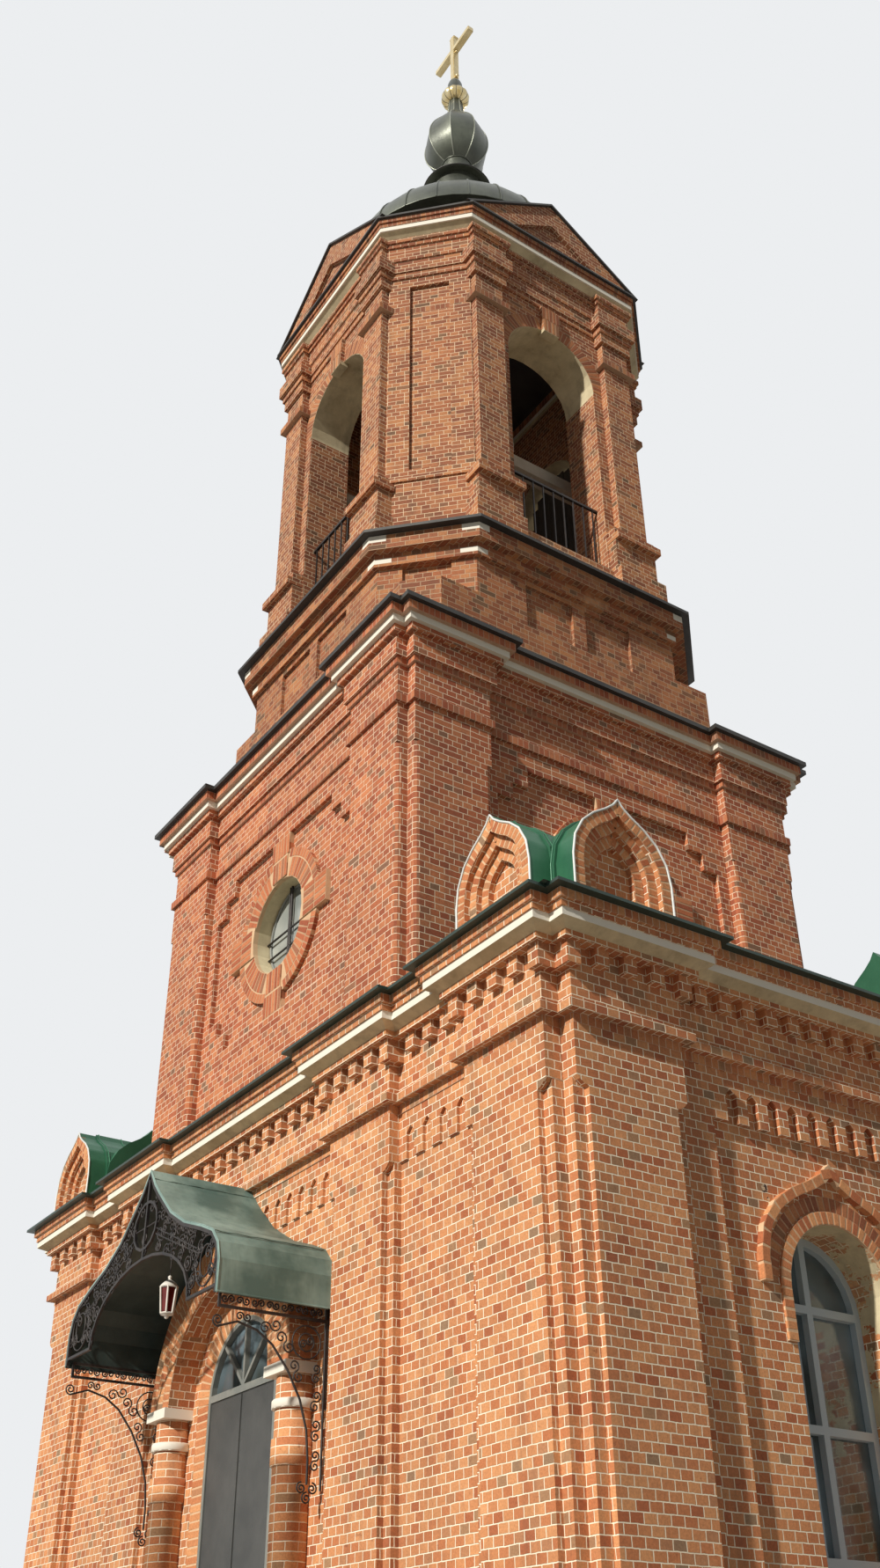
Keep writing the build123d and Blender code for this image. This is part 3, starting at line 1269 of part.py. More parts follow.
def build_portal():
    wall = wall_face()
    x = COLUMN_X
    y = -COLUMN_Y
    b = COLUMN_BASE_HALF
    ring_z = DOOR_SPRING - RING_DOWN
    slab_z = DOOR_SPRING - SLAB_H
    bulge_z = ring_z - BULGE_DOWN
    body = shaft(COLUMN_R, PLINTH_TOP + COLUMN_BASE_H, ring_z, x, y)
    body = body + block(x - b, x + b, y - b, y + b, PLINTH_TOP, PLINTH_TOP + COLUMN_BASE_H)
    body = body + shaft(COLUMN_R + BULGE_OUT, bulge_z, bulge_z + BULGE_H, x, y)
    neck = shaft(COLUMN_R, ring_z + RING_H, slab_z, x, y)
    ring = shaft(COLUMN_R + RING_OUT, ring_z, ring_z + RING_H, x, y)
    slab = block(ARCH_INNER, ARCH_OUTER, -SLAB_FRONT, -PANEL, slab_z, DOOR_SPRING)
    bricks = [body - wall, neck - wall]
    stones = [ring - wall, slab]
    arch = half_ring(ARCH_OUTER, ARCH_INNER, DOOR_SPRING, -ARCH_FRONT, -PANEL) - wall
    save(as_group(bricks + [mirrored_x(s) for s in bricks] + [arch]), "portal_brickwork")
    save(as_group(stones + [mirrored_x(s) for s in stones]), "portal_stones")


# Windows

def window_set():
    # Frame, mullion, transoms and one sheet of glass of a tall window facing -Y
    half = WINDOW_HALF
    bar = WINDOW_BAR
    thick = WINDOW_FRAME_THICK
    frame = arched(half, WINDOW_SILL, WINDOW_SPRING, -thick, 0)
    light = arched(half - bar, WINDOW_SILL + bar, WINDOW_SPRING, -thick, 0)
    bars = [block(-bar / 2, bar / 2, -thick, -MUNTIN_BACK, WINDOW_SILL, WINDOW_SPRING + half)]
    for up in WINDOW_BARS_UP + (WINDOW_H,):
        z = WINDOW_SILL + up
        bars.append(block(-half, half, -thick, -MUNTIN_BACK, z - bar / 2, z + bar / 2))
    frame = frame - light + (light & fused(bars))
    pane = light & block(-FAR, FAR, -MUNTIN_BACK, -MUNTIN_BACK + GLASS, 0, FAR)
    return frame, pane


def keel_band(half, top, spring, foot, wide, y0, y1):
    outside = keel_points(half, spring, top, foot)
    inside = keel_points(half - wide, spring, top - KEEL_DROP * wide, foot)
    return across(outside, y0, y1) - across(inside, y0 - 1, y1 + 1)


def hood():
    # Flat ring of bricks on end round the head, and a keel shaped label over it
    ring = half_ring(WINDOW_HALF + VOUSSOIR, WINDOW_HALF, WINDOW_SPRING, -VOUSSOIR_OUT, 0)
    leg = block(WINDOW_HALF, WINDOW_HALF + VOUSSOIR, -VOUSSOIR_OUT, 0,
                WINDOW_SPRING - VOUSSOIR_LEG, WINDOW_SPRING)
    label = keel_band(LABEL_HALF, WINDOW_SPRING + LABEL_TOP, WINDOW_SPRING + LABEL_SPRING,
                      WINDOW_SPRING + LABEL_UP, LABEL_WIDE, -LABEL_OUT, 0)
    return [ring + leg + mirrored_x(leg), label]


def place_windows(shape, plane_side, plane_back):
    right = turned(Pos(0, -plane_side, 0) * shape, 90)
    back = mirrored_y(Pos(0, -plane_back, 0) * shape)
    return [right, mirrored_x(right), back]


def build_windows():
    frame, pane = window_set()
    frames = place_windows(frame, SIDE_PANEL - WINDOW_DEEP, PANEL - WINDOW_DEEP)
    panes = place_windows(pane, SIDE_PANEL - WINDOW_DEEP, PANEL - WINDOW_DEEP)
    hoods = []
    for piece in hood():
        hoods += place_windows(piece, SIDE_PANEL, PANEL)
    return frames, panes, hoods


def oculus_surround(panel):
    # Ring of bricks on end with tapered keys above and below and an ear on either side
    ring = round_y(OCULUS_RING, 0, OCULUS_Z, -panel - OCULUS_RING_OUT, -panel)
    foot = OCULUS_R
    key = across([(-OCULUS_KEY_FOOT, OCULUS_Z + foot), (OCULUS_KEY_FOOT, OCULUS_Z + foot),
                  (OCULUS_KEY_TOP, OCULUS_Z + OCULUS_KEY_REACH),
                  (-OCULUS_KEY_TOP, OCULUS_Z + OCULUS_KEY_REACH)], -panel - OCULUS_KEY_OUT, -panel)
    low = mirror(Pos(0, 0, -OCULUS_Z) * key, about=Plane.XY)
    low = Pos(0, 0, OCULUS_Z) * low
    ear = block(-OCULUS_EAR_REACH, OCULUS_EAR_REACH, -panel - OCULUS_KEY_OUT, -panel,
                OCULUS_Z - OCULUS_EAR_HALF, OCULUS_Z + OCULUS_EAR_HALF)
    hole = round_y(OCULUS_R, 0, OCULUS_Z, -panel - OCULUS_KEY_OUT, -panel)
    return ring + key + low + ear - hole


def build_oculus():
    panel = T2_BAY - T2_PANEL_SINK
    surrounds = on_four(oculus_surround(panel))
    back = -panel + OCULUS_DEEP
    front = back - OCULUS_BAR
    light = round_y(OCULUS_R - OCULUS_BAR, 0, OCULUS_Z, front, back)
    frame = round_y(OCULUS_R, 0, OCULUS_Z, front, back) - light
    b = OCULUS_BAR / 3
    bars = block(-b, b, front, back - MUNTIN_BACK, OCULUS_Z - OCULUS_R, OCULUS_Z + OCULUS_R)
    bars = bars + block(-OCULUS_R, OCULUS_R, front, back - MUNTIN_BACK, OCULUS_Z - b, OCULUS_Z + b)
    frame = frame + (light & bars)
    pane = round_y(OCULUS_R - OCULUS_BAR, 0, OCULUS_Z, back - MUNTIN_BACK, back - MUNTIN_BACK + GLASS)
    return on_four(frame), on_four(pane), surrounds


# Gables, roof, dome and cross over the belfry

def gable_points(half, rise, foot):
    return [(-half, foot), (half, foot), (0, foot + rise)]


def build_belfry_top():
    foot = T4_EAVES_TOP
    face = across(gable_points(GABLE_HALF, GABLE_RISE, foot), -GABLE_PLANE, -GABLE_PLANE + GABLE_THICK)
    slope = GABLE_RISE / GABLE_HALF
    field = GABLE_HALF * GABLE_FIELD
    face = face - across(gable_points(field, field * slope, foot), -GABLE_PLANE - 1,
                         -GABLE_PLANE + GABLE_FIELD_SINK)
    save(as_group(on_four(face)), "belfry_gables")

    deck = octagon(*grown(T4_WALL_PLANE, T4_HALF, T4_EAVES_OUT), T4_ROWLOCK_TOP, T4_EAVES_TOP)
    sheet = GABLE_SHEET
    over = GABLE_PLANE + sheet
    outer = across(gable_points(GABLE_HALF + sheet / slope, GABLE_RISE + sheet, foot), -over, over)
    inner = across(gable_points(GABLE_HALF, GABLE_RISE, foot), -over, over)
    drum = extrude(Pos(0, 0, foot) * RegularPolygon(DOME_DRUM_R, DOME_SIDES), amount=DOME_DRUM_H)
    roof = outer + turned(outer, 90) - inner - turned(inner, 90)
    save(deck + roof + drum, "belfry_roof")

    rings = []
    for i in range(DOME_RINGS + 1):
        turn = math.radians(75.0 * i / DOME_RINGS)
        rings.append((DOME_R * math.cos(turn), DOME_FOOT + DOME_RISE * math.sin(turn)))
    rings[-1] = (NECK_R, NECK_FOOT)
    rings += [(NECK_R, COLLAR_FOOT), (COLLAR_R, COLLAR_FOOT), (COLLAR_R, COLLAR_FOOT + COLLAR_H),
              (SMALL_NECK_R, COLLAR_FOOT + COLLAR_H + COLLAR_SLOPE_H), (SMALL_NECK_R, ONION_FOOT)]
    save(turned_rings(rings, DOME_SIDES), "dome")
    save(turned_rings([(r, ONION_FOOT + z) for r, z in ONION_RINGS], ONION_SIDES), "onion_dome")

    bulb = turned_rings([(r, BULB_FOOT + z) for r, z in BULB_RINGS], BULB_SIDES)
    top = CROSS_FOOT + CROSS_H
    bar = CROSS_FOOT + CROSS_BAR_UP
    p = CROSS_POST / 2
    d = CROSS_DEEP / 2
    post = block(-p, p, -d, d, CROSS_FOOT - CROSS_KNOB, top)
    arm = block(-CROSS_BAR_HALF, CROSS_BAR_HALF, -d, d, bar - CROSS_BAR_H / 2, bar + CROSS_BAR_H / 2)
    tip = block(-CROSS_TIP / 2, CROSS_TIP / 2, -d, d, top - CROSS_TIP, top - CROSS_TIP / 3)
    knob = round_y(CROSS_KNOB, 0, CROSS_FOOT + CROSS_KNOB_UP, -d - IRON, d + IRON, SHAFT_SIDES)
    save(bulb + post + arm + tip + knob, "cross")


# Bells, their beam and the balustrades

def bell(x, r, top):
    tall = r * BELL_TALL
    foot = top - tall
    skin = r * BELL_SKIN
    outer = turned_rings([(r * k, foot + tall * h) for k, h in BELL_PROFILE], SHAFT_SIDES)
    inner = turned_rings([(r * k - skin, foot + tall * h - (skin if h else 0)) for k, h in BELL_PROFILE[:-1]],
                         SHAFT_SIDES)
    return Pos(x, 0, 0) * (outer - inner)


def build_bells():
    foot = T4_BASE_TOP + BEAM_UP
    beam = block(-BEAM_LONG, BEAM_LONG, -BEAM_HALF, BEAM_HALF, foot, foot + BEAM_H)
    solids = [beam]
    for x, r in BELLS:
        solids.append(bell(x, r, foot - BELL_DROP))
        solids.append(block(x - r / 10, x + r / 10, -r / 10, r / 10, foot - BELL_DROP - r / 10, foot))
    inner = T4_WALL_PLANE - T4_WALL
    for x in (-BEARER_X, BEARER_X):
        solids.append(block(x - BEAM_HALF, x + BEAM_HALF, -inner, inner, foot - BEARER_H, foot))
    save(fused(solids), "bells_on_beam")

    y0 = -T4_WALL_PLANE + RAIL_BACK
    top = T4_SILL + RAIL_TOP_UP
    low = T4_SILL + RAIL_FOOT_UP
    rail = block(-T4_ARCH_R, T4_ARCH_R, y0, y0 + RAIL_DEEP, top - RAIL_H, top)
    rail = rail + block(-T4_ARCH_R, T4_ARCH_R, y0, y0 + RAIL_DEEP, low, low + RAIL_H)
    pitch = 2 * T4_ARCH_R / BALUSTERS
    bars = []
    for i in range(BALUSTERS):
        x = -T4_ARCH_R + pitch * (i + 0.5)
        bars.append(block(x - BALUSTER / 2, x + BALUSTER / 2, y0 + BALUSTER / 2, y0 + 3 * BALUSTER / 2,
                          low + RAIL_H / 2, top - RAIL_H / 2))
    save(as_group(on_four(rail + bars)), "belfry_railings")


stone_bands = build_entrance() + build_tower() + build_belfry() + build_drum()
save(as_group(stone_bands), "white_stone_bands")
build_entrance_roof()
build_canopy()
fan_panes = build_door()
build_portal()
low_frames, low_panes, hoods = build_windows()
round_frames, round_panes, rings = build_oculus()
save(as_group(low_frames + round_frames), "window_frames")
save(as_group(fan_panes + low_panes + round_panes), "window_glass")
save(as_group(hoods + rings), "window_surrounds")
build_belfry_top()
build_bells()
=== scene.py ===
import logging
import math
from dataclasses import dataclass
from enum import Enum
from typing import Any, Sequence

import bmesh
import bpy
from mathutils import Matrix, Vector


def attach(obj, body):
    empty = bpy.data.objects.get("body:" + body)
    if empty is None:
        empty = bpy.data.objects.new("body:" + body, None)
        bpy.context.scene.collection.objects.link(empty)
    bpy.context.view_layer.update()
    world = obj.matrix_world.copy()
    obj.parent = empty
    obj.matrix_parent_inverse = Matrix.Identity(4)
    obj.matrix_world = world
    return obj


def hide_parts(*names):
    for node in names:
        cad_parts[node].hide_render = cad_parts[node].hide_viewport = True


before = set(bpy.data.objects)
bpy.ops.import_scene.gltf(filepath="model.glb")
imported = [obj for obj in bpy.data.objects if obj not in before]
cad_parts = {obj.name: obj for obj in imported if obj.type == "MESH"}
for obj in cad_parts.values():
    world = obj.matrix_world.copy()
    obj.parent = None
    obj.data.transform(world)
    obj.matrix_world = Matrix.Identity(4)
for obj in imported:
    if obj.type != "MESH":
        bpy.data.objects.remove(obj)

LOG = logging.getLogger("bell_tower")
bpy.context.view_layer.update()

Point = tuple[float, float]
Place = tuple[float, float, float]
Colour = tuple[float, float, float, float]
Line = list[Place]
Outline = Sequence[Point]
Piece = bpy.types.Object
Socket = bpy.types.NodeSocket

BLACK = (0.0, 0.0, 0.0, 1.0)
WHITE = (1.0, 1.0, 1.0, 1.0)
LEVEL_FACE = 0.7
BRICK_PITCH = 0.0755
HOOP_POINTS = 48


def tint(red: int, green: int, blue: int) -> Colour:
    """Linear colour of a screen colour.

    Args:
        red: Red from 0 to 255.
        green: Green from 0 to 255.
        blue: Blue from 0 to 255.

    Returns:
        The colour with full cover.
    """
    parts = []
    for value in (red, green, blue):
        share = value / 255
        parts.append(share / 12.92 if share <= 0.04045 else ((share + 0.055) / 1.055) ** 2.4)
    return parts[0], parts[1], parts[2], 1.0


class Side(Enum):
    """The four faces of the building by their turn about the vertical."""

    FRONT = 0
    RIGHT = 90
    BACK = 180
    LEFT = 270

    @property
    def label(self) -> str:
        """The face's name as a piece's name starts with it."""
        return self.name.lower()


@dataclass(frozen=True)
class Plan:
    """Levels and wall faces that several sub-assemblies go by.

    Attributes:
        oculus: Level of the round windows' middle.
        belfry_reach: Half the width of a belfry arch.
        wall: Face of the sunk front and back walls, from the middle of the building.
        flank: Face of the sunk side walls.
    """

    door_spring: float = 4.79
    window_spring: float = 4.94
    oculus: float = 10.18
    oculus_radius: float = 0.613
    belfry_spring: float = 19.73
    belfry_reach: float = 0.826
    wall: float = 3.004
    flank: float = 5.397


PLAN = Plan()


class Wiring:
    """Adds and joins the nodes of a material or of a geometry tree."""

    def __init__(self, tree: bpy.types.NodeTree) -> None:
        """Keeps the tree that is being wired."""
        self.tree = tree

    def add(self, kind: str, inputs: dict[Any, Any] | None = None, **settings: Any) -> bpy.types.Node:
        """Adds a node.

        Args:
            kind: The node's type name.
            inputs: Values or sockets by input name or number.
            **settings: The node's own settings.

        Returns:
            The node.
        """
        node = self.tree.nodes.new(kind)
        for key, value in settings.items():
            setattr(node, key, value)
        for key, value in (inputs or {}).items():
            self.feed(node.inputs[key], value)
        return node

    def feed(self, socket: Socket, value: Any) -> None:
        """Joins a socket to another, or sets its value."""
        if isinstance(value, Socket):
            self.tree.links.new(value, socket)
        else:
            socket.default_value = value

    def maths(self, operation: str, first: Any, second: Any = 0.0, third: Any = 0.0) -> Socket:
        """Result of one sum on numbers or sockets."""
        return self.add("ShaderNodeMath", {0: first, 1: second, 2: third}, operation=operation).outputs[0]

    def times(self, first: Any, second: Any) -> Socket:
        """Product of two numbers or sockets."""
        return self.maths("MULTIPLY", first, second)

    def minus(self, first: Any, second: Any) -> Socket:
        """Difference of two numbers or sockets."""
        return self.maths("SUBTRACT", first, second)

    def less(self, first: Any, second: Any) -> Socket:
        """One where the first is less than the second."""
        return self.maths("LESS_THAN", first, second)

    def mix(self, share: Any, first: Any, second: Any, blend: str = "MIX") -> Socket:
        """Blend of two colours."""
        inputs = {0: share, 6: first, 7: second}
        return self.add("ShaderNodeMix", inputs, data_type="RGBA", blend_type=blend).outputs[2]

    def split(self, vector: Any) -> bpy.types.NodeOutputs:
        """The three parts of a vector."""
        return self.add("ShaderNodeSeparateXYZ", {0: vector}).outputs

    def place(self) -> tuple[Any, Any, Any, Any]:
        """Place on the object, whole and in its three parts."""
        where = self.add("ShaderNodeTexCoord").outputs["Object"]
        x, y, z = self.split(where)
        return where, x, y, z

    def facing(self) -> bpy.types.NodeOutputs:
        """The three parts of the way that the surface faces."""
        return self.split(self.add("ShaderNodeTexCoord").outputs["Normal"])

    def along(self, x: Any, y: Any) -> tuple[Any, Any]:
        """Distance along an upright face, and one where the face lies level instead."""
        nx, ny, nz = self.facing()
        distance = self.minus(self.times(y, nx), self.times(x, ny))
        return distance, self.maths("GREATER_THAN", self.maths("ABSOLUTE", nz), LEVEL_FACE)

    def shown(self) -> Any:
        """One for rays that meet the pale background: straight, by reflection or through glass."""
        rays = self.add("ShaderNodeLightPath").outputs
        indirect = self.maths("MAXIMUM", rays["Is Glossy Ray"], rays["Is Transmission Ray"])
        return self.maths("MAXIMUM", rays["Is Camera Ray"], indirect)

    def choose(self, share: Any, first: Any, second: Any) -> Socket:
        """Blend of two numbers."""
        return self.add("ShaderNodeMix", {0: share, 2: first, 3: second}, data_type="FLOAT").outputs[0]

    def noise(self, where: Any, scale: float, detail: float = 3.0,
              rough: float = 0.55) -> Socket:
        """Soft random pattern from 0 to 1."""
        inputs = {"Vector": where, "Scale": scale, "Detail": detail, "Roughness": rough}
        return self.add("ShaderNodeTexNoise", inputs).outputs[0]

    def stretched(self, where: Any, scale: Place) -> Socket:
        """Place drawn out differently along each axis."""
        return self.add("ShaderNodeMapping", {"Vector": where, "Scale": scale}).outputs[0]

    def span(self, value: Any, low: float, high: float, to_low: float = 0.0, to_high: float = 1.0) -> Any:
        """Clamped change of range."""
        inputs = {0: value, 1: low, 2: high, 3: to_low, 4: to_high}
        return self.add("ShaderNodeMapRange", inputs, clamp=True).outputs[0]

    def ramp(self, value: Any, stops: Sequence[tuple[float, Colour]], steps: bool = False) -> Any:
        """Colour picked from a row of stops.

        Args:
            value: Where along the row.
            stops: Positions and colours in rising order.
            steps: Whether the colours change in steps.

        Returns:
            The colour's socket.
        """
        node = self.add("ShaderNodeValToRGB", {0: value})
        row = node.color_ramp
        row.interpolation = "CONSTANT" if steps else "LINEAR"
        row.elements[0].position, row.elements[0].color = stops[0]
        row.elements[1].position, row.elements[1].color = stops[-1]
        for position, colour in stops[1:-1]:
            row.elements.new(position).color = colour
        return node.outputs[0]

    def dress(self, shader: bpy.types.Node, colour: Any, height: Any, distance: float,
              strength: float) -> None:
        """Gives a shader its colour, and its relief from a height."""
        self.feed(shader.inputs["Base Color"], colour)
        inputs = {"Height": height, "Distance": distance, "Strength": strength}
        self.feed(shader.inputs["Normal"], self.add("ShaderNodeBump", inputs).outputs[0])


@dataclass(frozen=True)
class Finish:
    """What a surface is made of."""

    name: str
    rough: float = 0.8
    metal: float = 0.0

    def material(self) -> bpy.types.Material:
        """The finish's material, made on first use."""
        found = bpy.data.materials.get(self.name)
        if found:
            return found
        made = bpy.data.materials.new(self.name)
        made.use_nodes = True
        made.node_tree.nodes.clear()
        w = Wiring(made.node_tree)
        shader = w.add("ShaderNodeBsdfPrincipled", {"Roughness": self.rough, "Metallic": self.metal})
        w.feed(w.add("ShaderNodeOutputMaterial").inputs[0], shader.outputs[0])
        self.wire(w, shader)
        return made

    def wire(self, w: Wiring, shader: bpy.types.Node) -> None:
        """Adds the finish's own pattern."""
        raise NotImplementedError


CLAY = (
    (0.00, tint(190, 111, 70)),
    (0.08, tint(212, 136, 88)),
    (0.24, tint(225, 154, 102)),
    (0.44, tint(233, 165, 111)),
    (0.62, tint(218, 146, 96)),
    (0.78, tint(207, 129, 82)),
    (0.90, tint(199, 140, 98)),
    (0.955, tint(181, 138, 100)),
    (0.985, tint(162, 129, 98)),
)
TOWER_CLAY = (
    (0.00, tint(171, 90, 58)),
    (0.10, tint(194, 108, 71)),
    (0.28, tint(210, 128, 84)),
    (0.46, tint(216, 136, 91)),
    (0.64, tint(199, 114, 73)),
    (0.80, tint(181, 99, 65)),
    (0.90, tint(173, 112, 80)),
    (0.95, tint(162, 112, 82)),
    (0.98, tint(147, 108, 82)),
)
OLD_CLAY = (
    (0.00, tint(147, 86, 56)),
    (0.12, tint(172, 105, 69)),
    (0.30, tint(193, 126, 83)),
    (0.48, tint(202, 137, 89)),
    (0.64, tint(181, 111, 71)),
    (0.78, tint(160, 96, 62)),
    (0.88, tint(149, 103, 71)),
    (0.94, tint(134, 98, 69)),
    (0.98, tint(120, 90, 64)),
)


@dataclass(frozen=True)
class Brickwork(Finish):
    """Courses of headers, or now and then of stretchers, with joints, worn bricks and plastered reveals.

    Attributes:
        clay: Colours of the bricks, by a random number for each.
        mortar: Colour of the joints.
        foot: Level of the lowest course.
        on_edge: Low and high level of the courses that stand on edge.
        plaster: Low and high level of plastered bands.
        reveals: Level and radius of plastered arches.
        hollows: Place and reach of broken spots.
        flaking: How far down the jambs the plaster holds in patches.
        age: How much dirt there is.
        wrapped: Whether the courses follow the map of a round shaft.
        course: Height of a brick and its joint.
        header: Length of a header and its joint.
        brick_end: Length of a brick that stands on edge.
        squash: How much longer the bricks are in some courses.
        squash_every: How often such a course comes.
        joint: Half the width of a joint.
        sway: Pattern size and reach of the courses' unevenness.
    """

    rough: float = 0.88
    clay: tuple[tuple[float, Colour], ...] = CLAY
    mortar: Colour = tint(252, 240, 214)
    foot: float = 0.75
    on_edge: tuple[Point, ...] = ()
    plaster: tuple[Point, ...] = ()
    reveals: tuple[Point, ...] = ()
    hollows: tuple[tuple[Place, float], ...] = ()
    flaking: float = 0.0
    age: float = 0.35
    wrapped: bool = False
    course: float = 0.078
    header: float = 0.127
    brick_end: float = 0.12
    squash: float = 1.0
    squash_every: int = 3
    joint: float = 0.0054
    sway: tuple[Point, ...] = ((3.0, 0.012), (17.0, 0.010))

    def along_and_up(self, w: Wiring) -> tuple[Any, Any]:
        """Distances along and up the face, from the place and the way it faces.

        Args:
            w: The material's wiring.

        Returns:
            The two sockets.
        """
        if self.wrapped:
            flat = w.split(w.add("ShaderNodeUVMap", uv_map="courses").outputs[0])
            return flat[0], flat[1]
        _, x, y, z = w.place()
        along, lying = w.along(x, y)
        sideways = w.maths("GREATER_THAN", w.maths("ABSOLUTE", w.facing()[0]), 0.9)
        up = w.maths("MULTIPLY_ADD", sideways, self.course, w.minus(z, self.foot))
        return w.choose(lying, along, x), w.choose(lying, up, y)

    def within(self, w: Wiring, z: Any, spans: Outline) -> Any:
        """One inside any of the level spans, zero outside."""
        found: Any = 0.0
        for low, high in spans:
            hit = w.maths("COMPARE", z, (low + high) / 2, (high - low) / 2)
            found = w.maths("MAXIMUM", found, hit)
        return found

    def courses(self, w: Wiring, where: Any, z: Any) -> tuple[Any, Any]:
        """Which brick a point is on, and where the joints are.

        Args:
            w: The material's wiring.
            where: Place on the object.
            z: Its level.

        Returns:
            A random number for each brick, and one in the joints.
        """
        along, up = self.along_and_up(w)
        for scale, reach in self.sway:
            sway = w.add("ShaderNodeTexNoise", {"Vector": where, "Scale": scale, "Detail": 2.0}).outputs[1]
            sideways, upward, _ = w.split(sway)
            along = w.maths("MULTIPLY_ADD", w.minus(sideways, 0.5), reach, along)
            up = w.maths("MULTIPLY_ADD", w.minus(upward, 0.5), reach, up)
        shared = {"Color1": BLACK, "Color2": WHITE, "Mortar": BLACK, "Scale": 1.0, "Mortar Smooth": 0.35,
                  "Mortar Size": self.joint, "Bias": 0.0}
        spot = w.add("ShaderNodeCombineXYZ", {0: along, 1: up}).outputs[0]
        inputs = {**shared, "Vector": spot, "Brick Width": self.header, "Row Height": self.course}
        lying = w.add("ShaderNodeTexBrick", inputs, offset=0.5, offset_frequency=2, squash=self.squash,
                      squash_frequency=self.squash_every)
        pick, joint = lying.outputs[0], lying.outputs[1]
        if not self.on_edge:
            return pick, joint
        low: Any = 0.0
        tall: Any = self.brick_end
        for foot, head in self.on_edge:
            hit = self.within(w, z, ((foot, head),))
            low = w.maths("MULTIPLY_ADD", hit, foot, low)
            tall = w.maths("MULTIPLY_ADD", hit, (head - foot) - self.brick_end, tall)
        rise = w.times(w.maths("DIVIDE", w.minus(z, low), tall), self.brick_end)
        spot = w.add("ShaderNodeCombineXYZ", {0: along, 1: rise}).outputs[0]
        inputs = {**shared, "Vector": spot, "Brick Width": self.course, "Row Height": self.brick_end}
        standing = w.add("ShaderNodeTexBrick", inputs, offset=0.0, squash=1.0)
        band = self.within(w, z, self.on_edge)
        thin_joint = w.times(standing.outputs[1], 0.45)
        return w.mix(band, pick, standing.outputs[0]), w.choose(band, joint, thin_joint)

    def fired(self, w: Wiring, where: Any, pick: Any, grain: Any, streak: Any, bloom: Any) -> Any:
        """Colour of the bricks with their grain, dirt and bleaching.

        Args:
            w: The material's wiring.
            where: Place on the object.
            pick: Random number of each brick.
            grain: Fine grain of the clay.
            streak: Upright runs of dirt.
            bloom: Patches that the weather has bleached.

        Returns:
            The colour.
        """
        fired = w.ramp(pick, self.clay, steps=True)
        shade = w.ramp(grain, ((0.25, tint(205, 205, 205)), (0.7, WHITE)))
        fired = w.mix(1.0, fired, shade, "MULTIPLY")
        cloud = w.noise(where, 0.55, 4.0, 0.6)
        fired = w.mix(w.times(w.span(cloud, 0.42, 0.7), self.age), fired, tint(112, 68, 50))
        fired = w.mix(w.times(w.span(streak, 0.52, 0.72), self.age), fired, tint(96, 66, 52))
        return w.mix(w.span(bloom, 0.62, 0.76, 0.0, 0.5), fired, tint(232, 176, 128))

    def coat(self, w: Wiring, where: Any, x: Any, y: Any, z: Any) -> Any:
        """Where plaster covers the brick: on level bands, and inside arches and jambs.

        Args:
            w: The material's wiring.
            where: Place on the object.
            x: Its distance across.
            y: Its distance back.
            z: Its level.

        Returns:
            One under plaster, and a share where it has flaked.
        """
        coat: Any = self.within(w, z, self.plaster)
        for level, radius in self.reveals:
            rise = w.minus(z, level)
            near = w.maths("MINIMUM", w.maths("ABSOLUTE", x), w.maths("ABSOLUTE", y))
            squares = w.maths("ADD", w.times(near, near), w.times(rise, rise))
            inside = radius + 0.002
            coat = w.maths("MAXIMUM", coat, w.less(w.maths("SQRT", squares), inside))
            if self.flaking:
                below = w.span(rise, -self.flaking, 0.0)
                holds = w.maths("MULTIPLY_ADD", below, 0.22, 0.34)
                left = w.less(w.noise(where, 2.6, 5.0, 0.65), holds)
                jamb = w.times(w.less(near, inside), w.less(rise, 0.0))
                patches = w.noise(w.stretched(where, (1.0, 1.0, 1.4)), 3.1, 5.0, 0.7)
                gone = w.times(w.less(patches, 0.46), 0.75)
                coat = w.minus(coat, w.times(coat, gone))
                coat = w.maths("MAXIMUM", coat, w.times(jamb, left))
        return coat

    def wire(self, w: Wiring, shader: bpy.types.Node) -> None:
        """Adds the courses, their colours and their relief."""
        where, x, y, z = w.place()
        pick, joint = self.courses(w, where, z)
        grain = w.noise(where, 55.0, 4.0, 0.7)
        streak = w.noise(w.stretched(where, (2.6, 2.6, 0.35)), 1.4, 4.0, 0.65)
        bloom = w.noise(where, 1.7, 5.0, 0.7)
        fired = self.fired(w, where, pick, grain, streak, bloom)
        bed = w.mix(w.span(w.noise(where, 5.0, 3.0), 0.4, 0.75, 0.0, 0.45), self.mortar, tint(196, 164, 128))
        worn = w.span(w.noise(where, 11.0, 4.0, 0.65), 0.66, 0.72)
        chipped = w.times(worn, 0.5)
        colour = w.mix(joint, w.mix(chipped, fired, tint(120, 62, 42)), bed)
        raised = w.minus(w.minus(1.0, joint), w.times(chipped, 0.8))
        height = w.maths("MULTIPLY_ADD", grain, 0.22, raised)
        if self.plaster or self.reveals:
            coat = self.coat(w, where, x, y, z)
            lime = w.mix(w.span(bloom, 0.35, 0.75), tint(222, 208, 172), tint(176, 160, 126))
            lime = w.mix(w.span(streak, 0.5, 0.75, 0.0, 0.6), lime, tint(138, 124, 100))
            colour = w.mix(coat, colour, lime)
            height = w.choose(coat, height, w.times(w.noise(where, 9.0, 5.0, 0.7), 0.5))
        for place, reach in self.hollows:
            ragged = w.noise(where, 14.0, 4.0, 0.7)
            away = w.add("ShaderNodeVectorMath", {0: where, 1: place}, operation="DISTANCE").outputs["Value"]
            frayed = w.maths("MULTIPLY_ADD", ragged, reach * 1.4, away)
            lost = w.less(frayed, reach * 1.5)
            grains = w.span(w.noise(where, 30.0, 3.0), 0.5, 0.56)
            rubble = w.mix(grains, tint(58, 34, 24), tint(206, 182, 150))
            colour = w.mix(lost, colour, rubble)
